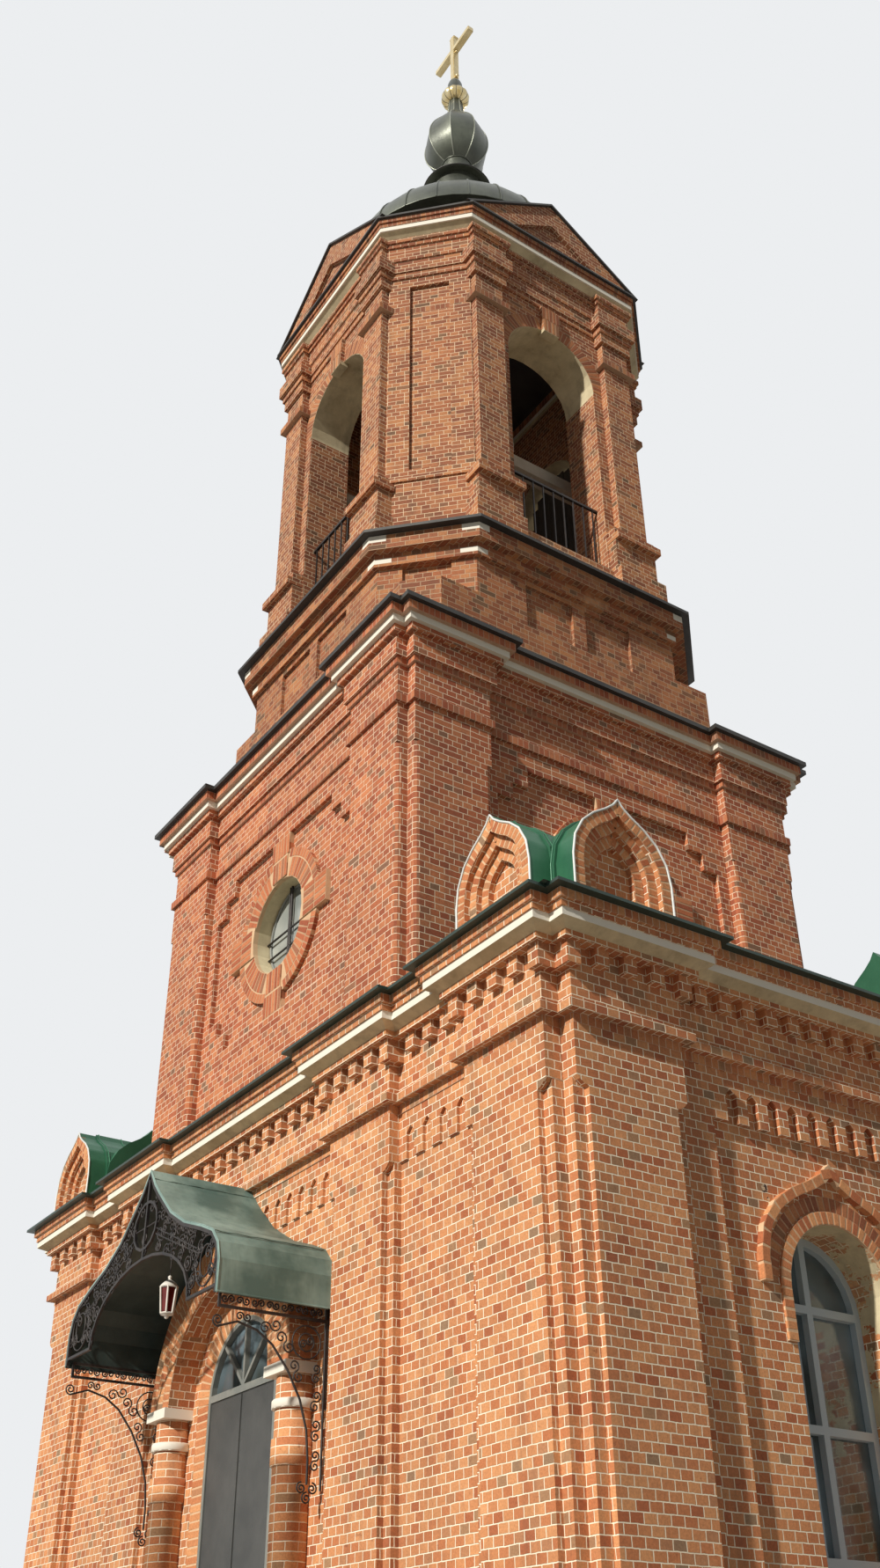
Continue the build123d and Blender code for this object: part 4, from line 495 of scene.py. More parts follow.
            height = w.minus(height, w.times(lost, 3.0))
        w.dress(shader, colour, height, 0.007, 0.75)


@dataclass(frozen=True)
class SingleBricks(Finish):
    """Bricks that are modelled one by one, each with its own tone."""

    rough: float = 0.86
    clay: tuple[tuple[float, Colour], ...] = CLAY

    def wire(self, w: Wiring, shader: bpy.types.Node) -> None:
        """Adds each brick's tone, its grain and its relief."""
        where = w.place()[0]
        tone = w.add("ShaderNodeAttribute", attribute_name="tone").outputs["Fac"]
        fired = w.ramp(tone, self.clay, steps=True)
        grain = w.noise(where, 55.0, 4.0, 0.7)
        shade = w.ramp(grain, ((0.25, tint(200, 200, 200)), (0.7, WHITE)))
        fired = w.mix(1.0, fired, shade, "MULTIPLY")
        stain = w.span(w.noise(where, 4.0, 4.0, 0.65), 0.55, 0.75, 0.0, 0.5)
        w.dress(shader, w.mix(stain, fired, tint(116, 70, 50)), grain, 0.004, 0.6)


@dataclass(frozen=True)
class Masonry(Finish):
    """Dressed limestone or render, with joints, stains and a fine grain."""

    rough: float = 0.8
    base: Colour = tint(232, 226, 212)
    stain: Colour = tint(188, 174, 148)
    joint_every: float = 0.74
    joint_up: float = 50.0
    joint: float = 0.003
    level_shift: Point = (0.17, 0.11)
    soiling: float = 0.6

    def wire(self, w: Wiring, shader: bpy.types.Node) -> None:
        """Adds the blocks, their joints and the run of dirt."""
        where, x, y, z = w.place()
        along, lying = w.along(x, y)
        across = w.choose(lying, along, w.maths("ADD", x, self.level_shift[0]))
        up = w.choose(lying, z, w.maths("ADD", y, self.level_shift[1]))
        spot = w.add("ShaderNodeCombineXYZ", {0: across, 1: up}).outputs[0]
        inputs = {"Vector": spot, "Scale": 1.0, "Brick Width": self.joint_every, "Row Height": self.joint_up,
                  "Mortar Size": self.joint, "Mortar Smooth": 0.3, "Color1": BLACK, "Color2": WHITE}
        blocks = w.add("ShaderNodeTexBrick", inputs)
        shade = w.mix(w.times(blocks.outputs[0], 0.3), self.base, self.stain)
        run = w.noise(w.stretched(where, (3.0, 3.0, 0.8)), 1.8, 5.0, 0.7)
        shade = w.mix(w.span(run, 0.45, 0.75, 0.0, self.soiling), shade, self.stain)
        pits = w.noise(where, 38.0, 5.0, 0.75)
        shade = w.mix(w.span(pits, 0.62, 0.74, 0.0, 0.5), shade, self.stain)
        shade = w.mix(w.times(blocks.outputs[1], 0.8), shade, tint(120, 106, 88))
        height = w.minus(w.times(pits, 0.5), blocks.outputs[1])
        w.dress(shader, shade, height, 0.004, 0.6)


@dataclass(frozen=True)
class PaleFloor(Finish):
    """Studio floor that is seen pale, and throws no more light on the object than bare ground would."""

    rough: float = 0.9
    seen: Colour = tint(238, 239, 241)
    ground: Colour = tint(132, 128, 120)

    def wire(self, w: Wiring, shader: bpy.types.Node) -> None:
        """Adds the two colours and a slight unevenness."""
        shade = w.mix(w.shown(), self.ground, self.seen)
        cloud = w.noise(w.place()[0], 0.2, 3.0, 0.6)
        w.feed(shader.inputs["Base Color"], w.mix(w.span(cloud, 0.4, 0.7, 0.0, 0.06), shade, self.ground))


@dataclass(frozen=True)
class PaintedSheet(Finish):
    """Painted or bare sheet metal, or paint on wood, with faded patches, water runs and slight dents, and
    where asked with painted shade on its lower edge or its inner faces.

    Attributes:
        base: Colour where it has kept.
        faded: Colour where it has faded.
        rust: Colour of the spots.
        rust_share: How much the spots show.
        patch: How close the faded patches come.
        dark_below: Level under which the weathered sheet gets painted shade, dark green, if any.
        dark_inside: Whether the faces turned in and down get painted shade, near black.
    """

    base: Colour = tint(70, 72, 66)
    faded: Colour = tint(104, 106, 96)
    rust: Colour = tint(96, 62, 44)
    rust_share: float = 0.25
    dents: float = 0.004
    patch: float = 1.6
    dark_below: float = 0.0
    dark_inside: bool = False

    def wire(self, w: Wiring, shader: bpy.types.Node) -> None:
        """Adds the fading, the runs and the dents."""
        where, x, _, z = w.place()
        cloud = w.noise(where, self.patch, 5.0, 0.6)
        shade = w.mix(w.span(cloud, 0.35, 0.7), self.base, self.faded)
        run = w.noise(w.stretched(where, (7.0, 7.0, 0.7)), 2.2, 4.0, 0.65)
        shade = w.mix(w.span(run, 0.5, 0.75, 0.0, 0.35), shade, self.base)
        spots = w.noise(where, 21.0, 6.0, 0.75)
        shade = w.mix(w.span(spots, 0.63, 0.7, 0.0, self.rust_share), shade, self.rust)
        # Painted shade: below the level, the weathered eaves edge is painted dark green.
        if self.dark_below:
            shade = w.mix(w.less(z, self.dark_below), shade, tint(38, 56, 48))
        # Painted shade: faces turned in and down, under the canopy, are painted near black.
        if self.dark_inside:
            nx, _, nz = w.facing()
            outward = w.maths("ADD", w.times(nx, w.maths("SIGN", x)), nz)
            inward = w.less(outward, -0.02)
            shade = w.mix(w.times(inward, 0.8), shade, tint(20, 24, 22))
        height = w.maths("MULTIPLY_ADD", w.noise(where, 2.4, 2.0), 3.0, spots)
        w.dress(shader, shade, height, self.dents, 0.5)


@dataclass(frozen=True)
class Pane(Finish):
    """Old window glass painted with reflections: a blue-grey painted sky reflection mixed in patches with
    painted dark from within, and slightly uneven sheets.
    """

    rough: float = 0.06
    # base is a painted sky reflection; deep is painted dark, the shade and reflections from within.
    base: Colour = tint(112, 130, 140)
    deep: Colour = tint(56, 62, 58)

    def wire(self, w: Wiring, shader: bpy.types.Node) -> None:
        """Adds the painted reflections in patches and the waviness of the sheets."""
        where = w.place()[0]
        cloud = w.span(w.noise(where, 0.9, 3.0), 0.4, 0.65)
        shader.inputs["Specular IOR Level"].default_value = 0.8
        w.dress(shader, w.mix(cloud, self.base, self.deep), w.noise(where, 2.2, 2.0), 0.01, 0.35)


class Finishes:
    """Every finish of the bell tower."""

    DAMAGE = (((5.660, -2.735, 5.700), 0.062), ((5.660, -2.600, 5.685), 0.045),
              ((5.660, -2.500, 5.675), 0.030), ((5.397, -0.790, 5.775), 0.050),
              ((5.397, -0.760, 5.690), 0.024))
    BELT = (6.749, 6.834)
    CAP_COURSE = (7.706, 7.790)
    LOWER = Brickwork("lower_brickwork", on_edge=(BELT, CAP_COURSE), plaster=((7.508, 7.562),),
                      hollows=DAMAGE)
    RIGHT_REVEAL = Brickwork("window_wall_brickwork", on_edge=(BELT,), reveals=((PLAN.window_spring, 0.64),),
                             flaking=2.4, hollows=DAMAGE)
    DOORWAY = Brickwork("doorway_brickwork", reveals=((PLAN.door_spring, 0.74),), flaking=2.2)
    TOWER = Brickwork("tower_brickwork", foot=7.64, squash=2.0, squash_every=5, age=0.4, clay=TOWER_CLAY,
                      mortar=tint(240, 214, 186), reveals=((PLAN.oculus, PLAN.oculus_radius),),
                      on_edge=((11.683, 11.790), (12.225, 12.307), (12.784, 12.900)))
    DRUM = Brickwork("drum_brickwork", foot=12.9, squash=2.0, age=0.55, clay=OLD_CLAY,
                     mortar=tint(190, 160, 130))
    BELFRY = Brickwork("belfry_brickwork", foot=15.5, squash=2.0, age=0.5, clay=OLD_CLAY,
                       mortar=tint(230, 202, 168), on_edge=((20.290, 20.406), (22.098, 22.264)),
                       plaster=((21.918, 22.008),), reveals=((PLAN.belfry_spring, 0.83),))
    COLUMN = Brickwork("column_brickwork", wrapped=True, header=0.1425, squash=2.0, squash_every=2)
    ARCH_BRICK = SingleBricks("arch_bricks")
    TOWER_ARCH_BRICK = SingleBricks("tower_arch_bricks", clay=TOWER_CLAY)
    OLD_ARCH_BRICK = SingleBricks("old_arch_bricks", clay=OLD_CLAY)
    MORTAR = Masonry("arch_joints", base=tint(218, 184, 146), stain=tint(176, 134, 100), joint_every=9.0)
    OLD_MORTAR = Masonry("old_arch_joints", base=tint(190, 150, 116), stain=tint(148, 106, 78),
                         joint_every=9.0)
    WHITE_STONE = Masonry("white_stone", base=tint(242, 237, 226), stain=tint(200, 188, 164), soiling=0.5)
    PLINTH_STONE = Masonry("plinth_stone", base=tint(186, 176, 158), stain=tint(134, 122, 104),
                           joint_every=0.62, joint_up=0.25)
    PLASTER = Masonry("cream_plaster", base=tint(214, 200, 166), stain=tint(160, 142, 112), joint_every=12.0)
    GREEN = PaintedSheet("green_roof_sheet", rough=0.42, metal=0.2, base=tint(36, 92, 66),
                         faded=tint(52, 112, 80), rust_share=0.12)
    # Its lower edge carries painted shade.
    EAVES = PaintedSheet("green_roof_dark_eaves", rough=0.45, metal=0.2, base=tint(36, 88, 64),
                         faded=tint(50, 104, 76), rust_share=0.15, dark_below=7.8385)
    # Its inner faces carry painted shade.
    CANOPY = PaintedSheet("faded_canopy_sheet", rough=0.5, metal=0.15, base=tint(80, 108, 102),
                          faded=tint(178, 206, 196), rust_share=0.15, patch=0.8, dark_inside=True)
    DARK_ROOF = PaintedSheet("dark_roof_sheet", rough=0.55, metal=0.3, base=tint(44, 42, 40),
                             faded=tint(66, 64, 60), rust_share=0.3)
    DOME = PaintedSheet("dome_sheet", rough=0.36, metal=0.45, base=tint(62, 65, 57), faded=tint(98, 102, 89),
                        rust_share=0.1)
    RIB = PaintedSheet("pale_rib", rough=0.35, metal=0.5, base=tint(120, 124, 110), faded=tint(160, 162, 148),
                       rust_share=0.05)
    EDGE = PaintedSheet("white_edge_sheet", rough=0.5, metal=0.1, base=tint(206, 210, 206),
                        faded=tint(232, 234, 230), rust_share=0.2)
    GILT = PaintedSheet("gilt", rough=0.34, metal=0.55, base=tint(202, 182, 132), faded=tint(226, 210, 168),
                        rust=tint(140, 118, 76), rust_share=0.3, dents=0.002, patch=5.0)
    GOLD = PaintedSheet("bulb_gilt", rough=0.24, metal=0.8, base=tint(186, 162, 104),
                        faded=tint(224, 212, 174), rust=tint(120, 96, 60), rust_share=0.3, dents=0.002,
                        patch=5.0)
    BRONZE = PaintedSheet("bell_bronze", rough=0.4, metal=0.85, base=tint(84, 66, 42),
                          faded=tint(112, 96, 62), rust=tint(60, 84, 70))
    IRON = PaintedSheet("forged_iron", rough=0.5, metal=0.5, base=tint(38, 35, 34), faded=tint(66, 60, 56),
                        rust=tint(104, 62, 40), rust_share=0.5, dents=0.002, patch=6.0)
    DOOR = PaintedSheet("grey_door_sheet", rough=0.5, metal=0.15, base=tint(60, 61, 59),
                        faded=tint(78, 78, 75), rust=tint(38, 36, 34), rust_share=0.8, dents=0.003,
                        patch=2.4)
    FRAME = PaintedSheet("blue_grey_paint", rough=0.45, base=tint(186, 192, 176), faded=tint(212, 214, 198),
                         rust=tint(140, 132, 112), rust_share=0.4, dents=0.002, patch=3.0)
    DOOR_FRAME = PaintedSheet("grey_door_frame", rough=0.5, base=tint(112, 116, 112),
                              faded=tint(140, 140, 132), rust=tint(120, 104, 88), rust_share=0.5,
                              dents=0.002, patch=3.0)
    BEAM = PaintedSheet("limewashed_timber", rough=0.8, base=tint(190, 184, 168), faded=tint(216, 212, 198),
                        rust=tint(110, 96, 78), rust_share=0.6, dents=0.004, patch=2.0)
    LAMP_FRAME = PaintedSheet("lamp_frame", rough=0.45, metal=0.1, base=tint(214, 208, 196),
                              faded=tint(236, 232, 222), rust=tint(128, 84, 60), rust_share=0.5, dents=0.002,
                              patch=9.0)
    LAMP_GLASS = PaintedSheet("red_lamp_glass", rough=0.12, base=tint(84, 24, 20), faded=tint(112, 38, 30),
                              rust=tint(48, 14, 12), rust_share=0.3, dents=0.001, patch=9.0)
    BOARDS = PaintedSheet("dark_boards", rough=0.85, base=tint(48, 42, 36), faded=tint(66, 58, 48),
                          rust=tint(40, 34, 28), rust_share=0.5)
    # Both glasses are coloured with painted reflections; the round one's painted sky is paler.
    GLASS = Pane("window_glass")
    ROUND_GLASS = Pane("round_window_glass", rough=0.14, base=tint(178, 182, 176), deep=tint(118, 126, 124))


def link(obj: Piece) -> Piece:
    """Puts an object into the scene."""
    bpy.context.scene.collection.objects.link(obj)
    return obj


def from_form(name: str, form: bmesh.types.BMesh, finish: Finish | None = None) -> Piece:
    """Object of a finished form, which is used up.

    Args:
        name: The object's name.
        form: Its shape.
        finish: Its finish, if it has its own.

    Returns:
        The object.
    """
    mesh = bpy.data.meshes.new(name)
    form.to_mesh(mesh)
    form.free()
    if finish:
        mesh.materials.append(finish.material())
    return link(bpy.data.objects.new(name, mesh))


def turned(side: Side, points: Sequence[Place]) -> Line:
    """Points of the front face turned to another face."""
    turn = Matrix.Rotation(math.radians(side.value), 3, "Z")
    return [tuple(turn @ Vector(point)) for point in points]


def line_mesh(name: str, lines: Sequence[Sequence[Place]], closed: bool = False) -> bpy.types.Mesh:
    """Mesh of bare edges along lines of points.

    Args:
        name: The mesh's name.
        lines: The lines.
        closed: Whether each line returns to its start.

    Returns:
        The mesh.
    """
    places: Line = []
    edges: list[tuple[int, int]] = []
    for line in lines:
        start = len(places)
        places += [tuple(point) for point in line]
        edges += [(start + i, start + i + 1) for i in range(len(line) - 1)]
        if closed:
            edges.append((len(places) - 1, start))
    mesh = bpy.data.meshes.new(name)
    mesh.from_pydata(places, edges, [])
    return mesh


def arc(radius: float, centre: Point, start: float, end: float, steps: int, rise: float = 0.0) -> list[Point]:
    """Points of a circle or an oval in elevation.

    Args:
        radius: Half the width.
        centre: Middle, across and up.
        start: First bearing in degrees from the right.
        end: Last bearing.
        steps: How many pieces.
        rise: Half the height where it is an oval.

    Returns:
        The points.
    """
    points = []
    for i in range(steps + 1):
        turn = math.radians(start + (end - start) * i / steps)
        points.append((centre[0] + radius * math.cos(turn), centre[1] + (rise or radius) * math.sin(turn)))
    return points


def keel(half: float, spring: float, top: float, foot: float, fine: int = 5) -> list[Point]:
    """Half circle drawn up to a point, the outline of the gables and of the window hoods.

    Args:
        half: Half the width.
        spring: Level where the curve starts.
        top: Level of the point.
        foot: Level of the feet.
        fine: Pieces between the set points.

    Returns:
        The outline from the right foot over the point to the left foot.
    """
    rise = top - spring
    right = [(half, foot), (half, spring)]
    for turn in (20, 40, 58):
        bend = math.radians(turn)
        right.append((half * math.cos(bend), spring + 0.8 * rise * math.sin(bend)))
    right += [(half * 0.27, spring + rise * 0.80), (half * 0.10, spring + rise * 0.90), (0.0, top)]
    smooth = [right[0]]
    for (x0, z0), (x1, z1) in zip(right, right[1:]):
        smooth += [(x0 + (x1 - x0) * k / fine, z0 + (z1 - z0) * k / fine) for k in range(1, fine + 1)]
    return smooth + [(-x, z) for x, z in reversed(smooth[:-1])]


def trimmed(points: Outline, ends: float) -> list[Point]:
    """Line with a length taken off both ends."""
    line = list(points)
    for _ in range(2):
        left = ends
        while len(line) > 2 and math.dist(line[0], line[1]) <= left:
            left -= math.dist(line[0], line[1])
            line.pop(0)
        share = left / math.dist(line[0], line[1])
        (x0, z0), (x1, z1) = line[0], line[1]
        line[0] = (x0 + (x1 - x0) * share, z0 + (z1 - z0) * share)
        line.reverse()
    return line


def at(plane: float, points: Outline) -> Line:
    """Elevation points set on a plane of the front face."""
    return [(x, plane, z) for x, z in points]


class Tree:
    """Geometry node tree with named inputs."""

    def __init__(self, name: str, inputs: Sequence[tuple[str, str]]) -> None:
        """Opens the tree.

        Args:
            name: The tree's name.
            inputs: Names and socket types of the inputs after the line.
        """
        self.tree = bpy.data.node_groups.new(name, "GeometryNodeTree")
        face = self.tree.interface
        face.new_socket("Line", in_out="INPUT", socket_type="NodeSocketGeometry")
        for label, kind in inputs:
            face.new_socket(label, in_out="INPUT", socket_type="NodeSocket" + kind)
        face.new_socket("Shape", in_out="OUTPUT", socket_type="NodeSocketGeometry")
        self.wiring = Wiring(self.tree)
        self.given = self.wiring.add("NodeGroupInput").outputs

    def close(self, shape: Socket) -> None:
        """Realizes the shape, gives it its finish and sends it out."""
        w = self.wiring
        real = w.add("GeometryNodeRealizeInstances", {0: shape}).outputs[0]
        dressed = w.add("GeometryNodeSetMaterial", {"Geometry": real, "Material": self.given["Finish"]})
        w.tree.links.new(dressed.outputs[0], w.add("NodeGroupOutput").inputs[0])

    def grow(self, name: str, mesh: bpy.types.Mesh, values: dict[str, Any]) -> Piece:
        """Runs the tree on a mesh of lines.

        Args:
            name: The new piece's name.
            mesh: The lines.
            values: The inputs by name.

        Returns:
            The plain piece.
        """
        carrier = link(bpy.data.objects.new(name + "_lines", mesh))
        modifier = carrier.modifiers.new("shape", "NODES")
        modifier.node_group = self.tree
        for item in self.tree.interface.items_tree:
            if item.in_out == "INPUT" and item.name in values:
                modifier[item.identifier] = values[item.name]
        graph = bpy.context.evaluated_depsgraph_get()
        plain = bpy.data.meshes.new_from_object(carrier.evaluated_get(graph), depsgraph=graph)
        bpy.data.objects.remove(carrier)
        plain.name = name
        return link(bpy.data.objects.new(name, plain))


class BrickTree(Tree):
    """Sets bricks one after another along lines, each a little out of true and with its own tone."""

    def __init__(self) -> None:
        """Builds the tree."""
        inputs = (("Brick", "Object"), ("Pitch", "Float"), ("Across", "Vector"), ("Slack", "Float"),
                  ("Seed", "Int"), ("Finish", "Material"))
        super().__init__("bricks_along_lines", inputs)
        w, given = self.wiring, self.given
        curve = w.add("GeometryNodeMeshToCurve", {"Mesh": given["Line"]}).outputs[0]
        spaced = w.add("GeometryNodeResampleCurve", {"Curve": curve, "Length": given["Pitch"]}, mode="LENGTH")
        tangent = w.add("GeometryNodeInputTangent").outputs[0]
        way = w.add("FunctionNodeAlignRotationToVector", {"Vector": tangent}, axis="X").outputs[0]
        inputs = {"Rotation": way, "Vector": given["Across"]}
        way = w.add("FunctionNodeAlignRotationToVector", inputs, axis="Y", pivot_axis="X").outputs[0]
        least = w.times(given["Slack"], -1.0)
        inputs = {"Min": least, "Max": given["Slack"], "Seed": given["Seed"]}
        jitter = w.add("FunctionNodeRandomValue", inputs, data_type="FLOAT_VECTOR").outputs[0]
        shaken = w.add("FunctionNodeEulerToRotation", {0: jitter}).outputs[0]
        way = w.add("FunctionNodeRotateRotation", {0: way, 1: shaken}, rotation_space="LOCAL").outputs[0]
        brick = w.add("GeometryNodeObjectInfo", {"Object": given["Brick"]}).outputs["Geometry"]
        inputs = {"Points": spaced.outputs[0], "Instance": brick, "Rotation": way}
        laid = w.add("GeometryNodeInstanceOnPoints", inputs).outputs[0]
        tone_seed = w.maths("ADD", given["Seed"], 11.0)
        chance = w.add("FunctionNodeRandomValue", {"Seed": tone_seed}, data_type="FLOAT").outputs[1]
        inputs = {"Geometry": laid, "Name": "tone", "Value": chance}
        toned = w.add("GeometryNodeStoreNamedAttribute", inputs, data_type="FLOAT", domain="INSTANCE")
        self.close(toned.outputs[0])


class RodTree(Tree):
    """Carries a many sided rod along lines, for ironwork, seams and ribs."""

    def __init__(self) -> None:
        """Builds the tree."""
        super().__init__("rods_along_lines", (("Radius", "Float"), ("Sides", "Int"), ("Finish", "Material")))
        w, given = self.wiring, self.given
        curve = w.add("GeometryNodeMeshToCurve", {"Mesh": given["Line"]}).outputs[0]
        inputs = {"Resolution": given["Sides"], "Radius": given["Radius"]}
        ring = w.add("GeometryNodeCurvePrimitiveCircle", inputs, mode="RADIUS").outputs[0]
        rod = w.add("GeometryNodeCurveToMesh", {"Curve": curve, "Profile Curve": ring, "Fill Caps": True})
        self.close(rod.outputs[0])


BRICKS = BrickTree()
RODS = RodTree()


def keep(obj: Piece, slot: str, body: str = "building", *nodes: str) -> Piece:
    """Ties a finished piece to its body and reports it.

    Args:
        obj: The piece.
        slot: Not used.
        body: The body it moves with.
        *nodes: Solids that it stands for.

    Returns:
        The piece.
    """
    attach(obj, body)
    if nodes:
        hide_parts(*nodes)
    LOG.info("%s: %d faces", obj.name, len(obj.data.polygons))
    return obj


def one_brick(name: str, size: Place, radius: float = 0.0, edge: float = 0.005) -> Piece:
    """Single brick with worn arrises, for the brick tree.

    Args:
        name: The brick's name.
        size: Thickness along the line, depth into the wall and length away from the line.
        radius: Radius of the ring it is cut to a wedge for, if any.
        edge: Width of the worn arris.

    Returns:
        The brick's object.
    """
    form = bmesh.new()
    bmesh.ops.create_cube(form, size=1.0)
    bmesh.ops.scale(form, vec=size, verts=form.verts)
    if radius:
        for corner in form.verts:
            corner.co.x *= 1.0 - corner.co.z / radius
    bmesh.ops.bevel(form, geom=list(form.edges), offset=edge, segments=1, affect="EDGES")
    return from_form(name, form)


def lay_bricks(name: str, lines: Sequence[Line], size: Place, finish: Finish, pitch: float = BRICK_PITCH,
               across: Place = (0.0, 1.0, 0.0), seed: int = 1, radius: float = 0.0) -> Piece:
    """Row of single bricks along lines.

    Args:
        name: The piece's name.
        lines: Middle lines of the rows.
        size: Thickness, depth and length of a brick.
        finish: Their finish.
        pitch: Distance from brick to brick.
        across: Direction of the bricks' depth.
        seed: Start of the random draws.
        radius: Radius of the ring that the bricks are cut for, if any.

    Returns:
        The row.
    """
    brick = one_brick(name + "_brick", size, radius)
    values = {"Brick": brick, "Pitch": pitch, "Across": across, "Slack": 0.012, "Seed": seed,
              "Finish": finish.material()}
    row = BRICKS.grow(name, line_mesh(name, lines), values)
    bpy.data.objects.remove(brick)
    return row


def lay_rods(name: str, lines: Sequence[Line], radius: float, finish: Finish, sides: int = 6,
             closed: bool = False) -> Piece:
    """Rods of one thickness along lines.

    Args:
        name: The piece's name.
        lines: The rods' middle lines.
        radius: Half the thickness.
        finish: Their finish.
        sides: Sides of the rod.
        closed: Whether each rod is a ring.

    Returns:
        The rods.
    """
    values = {"Radius": radius, "Sides": sides, "Finish": finish.material()}
    return RODS.grow(name, line_mesh(name, lines, closed), values)


def joined(name: str, parts: Sequence[Piece]) -> Piece:
    """One piece out of several, each with its own finish.

    Args:
        name: The piece's name.
        parts: The pieces, which are used up.

    Returns:
        The piece.
    """
    whole = parts[0]
    chosen = {"object": whole, "active_object": whole, "selected_editable_objects": list(parts)}
    if len(parts) > 1:
        with bpy.context.temp_override(**chosen):
            bpy.ops.object.join()
    whole.name = whole.data.name = name
    return whole


def turned_form(name: str, rings: Outline, sides: int, finish: Finish, centre: Point = (0.0, 0.0),
                smooth: bool = True) -> Piece:
    """Turned piece through rings of radius and level, closed at both ends.

    Args:
        name: The piece's name.
        rings: Radius and level from the foot up.
        sides: Sides of each ring.
        finish: Its finish.
        centre: Where its axis stands.
        smooth: Whether it is shaded round.

    Returns:
        The piece, with a map of lengths round and up it.
    """
    form = bmesh.new()
    flat = form.loops.layers.uv.new("courses")
    wide = max(radius for radius, _ in rings)
    rows = []
    for radius, z in rings:
        row = []
        for i in range(sides):
            turn = 2 * math.pi * i / sides
            x, y = centre[0] + radius * math.cos(turn), centre[1] + radius * math.sin(turn)
            row.append(form.verts.new((x, y, z)))
        rows.append(row)
    for k, (low, high) in enumerate(zip(rows, rows[1:])):
        for i in range(sides):
            j = (i + 1) % sides
            face = form.faces.new((low[i], low[j], high[j], high[i]))
            face.smooth = smooth
            for loop, (step, level) in zip(face.loops, ((i, k), (i + 1, k), (i + 1, k + 1), (i, k + 1))):
                loop[flat].uv = (wide * 2 * math.pi * step / sides, rings[level][1])
    form.faces.new(list(reversed(rows[0])))
    form.faces.new(rows[-1])
    return from_form(name, form, finish)


def slab(name: str, outline: Outline, y0: float, y1: float, finish: Finish,
         edge: float = 0.0) -> Piece:
    """Flat piece with an outline in elevation.

    Args:
        name: The piece's name.
        outline: Its corners, across and up.
        y0: Plane of its front.
        y1: Plane of its back.
        finish: Its finish.
        edge: Width of its worn edges.

    Returns:
        The piece.
    """
    form = bmesh.new()
    front = [form.verts.new((x, y0, z)) for x, z in outline]
    back = [form.verts.new((x, y1, z)) for x, z in outline]
    form.faces.new(front)
    form.faces.new(list(reversed(back)))
    for i in range(len(outline)):
        j = (i + 1) % len(outline)
        form.faces.new((front[j], front[i], back[i], back[j]))
    bmesh.ops.recalc_face_normals(form, faces=form.faces)
    if edge:
        bmesh.ops.bevel(form, geom=list(form.edges), offset=edge, segments=2, affect="EDGES")
    return from_form(name, form, finish)


@dataclass
class Setting:
    """Floor, pale backdrop, lamps and the camera at the photograph's place.

    Attributes:
        eye: Place of the camera.
        bearing: How far it is turned to the left of straight back, in radians.
        tilt: How far it looks up, in radians.
        roll: How far it leans, in radians.
        lens: Its focal length in millimetres.
        film_width: Width of its film in millimetres.
        fill: Strength of the even light.
        lamps_hung: Name, strength, spread in degrees, colour and direction of each lamp.
    """

    eye: Place = (14.2854, -10.1834, 1.6)
    bearing: float = 0.97574478
    tilt: float = 0.5888083
    roll: float = -0.0077074
    lens: float = 33.842
    film_width: float = 36.0
    floor_half: float = 140.0
    floor_level: float = -0.002
    fill: float = 0.22
    lamps_hung: tuple[tuple[str, float, float, Place, Place], ...] = (
        ("key", 4.2, 2.0, (1.0, 0.955, 0.88), (0.215, -0.84, 0.50)),
        ("back_fill", 1.6, 25.0, (1.0, 0.98, 0.96), (-0.55, 0.75, 0.36)),
    )

    def build(self) -> None:
        """Builds all of it."""
        bpy.context.scene.view_settings.view_transform = "Standard"
        self.floor()
        self.lamps()
        self.sky()
        self.camera()

    def floor(self) -> None:
        """Plain pale floor at ground level."""
        mesh = bpy.data.meshes.new("floor")
        signs = ((-1, -1), (1, -1), (1, 1), (-1, 1))
        corners = [(x * self.floor_half, y * self.floor_half, self.floor_level) for x, y in signs]
        mesh.from_pydata(corners, [], [(0, 1, 2, 3)])
        floor = link(bpy.data.objects.new("floor", mesh))
        mesh.materials.append(PaleFloor("pale_floor").material())

    def lamps(self) -> None:
        """Sun from the front as in the photograph, and a soft lamp for the two sides turned away from it."""
        for name, energy, spread, colour, towards in self.lamps_hung:
            lamp = bpy.data.lights.new(name, "SUN")
            lamp.energy = energy
            lamp.color = colour
            lamp.angle = math.radians(spread)
            hung = link(bpy.data.objects.new(name, lamp))
            hung.rotation_euler = Vector(towards).to_track_quat("Z", "Y").to_euler()

    def sky(self) -> None:
        """Even light from all round, and a pale backdrop."""
        world = bpy.data.worlds.new("studio")
        bpy.context.scene.world = world
        world.use_nodes = True
        world.node_tree.nodes.clear()
        w = Wiring(world.node_tree)
        fill = w.add("ShaderNodeBackground", {"Color": tint(236, 236, 238), "Strength": self.fill})
        backdrop = w.add("ShaderNodeBackground", {"Color": tint(236, 238, 240), "Strength": 1.0})
        both = w.add("ShaderNodeMixShader", {0: w.shown(), 1: fill.outputs[0], 2: backdrop.outputs[0]})
        w.tree.links.new(both.outputs[0], w.add("ShaderNodeOutputWorld").inputs[0])

    def camera(self) -> None:
        """Camera at the photograph's place and angle."""
        data = bpy.data.cameras.new("camera")
        data.lens = self.lens
        data.sensor_width = self.film_width
        data.clip_end = 500.0
        level = math.cos(self.tilt)
        ahead = Vector((-math.sin(self.bearing) * level, math.cos(self.bearing) * level, math.sin(self.tilt)))
        right = Vector((math.cos(self.bearing), math.sin(self.bearing), 0.0))
        up = right.cross(ahead)
        across = math.cos(self.roll) * right + math.sin(self.roll) * up
        over = math.cos(self.roll) * up - math.sin(self.roll) * right
        camera = link(bpy.data.objects.new("camera", data))
        turn = Matrix((across, over, -ahead)).transposed().to_4x4()
        camera.matrix_world = Matrix.Translation(self.eye) @ turn
        bpy.context.scene.camera = camera


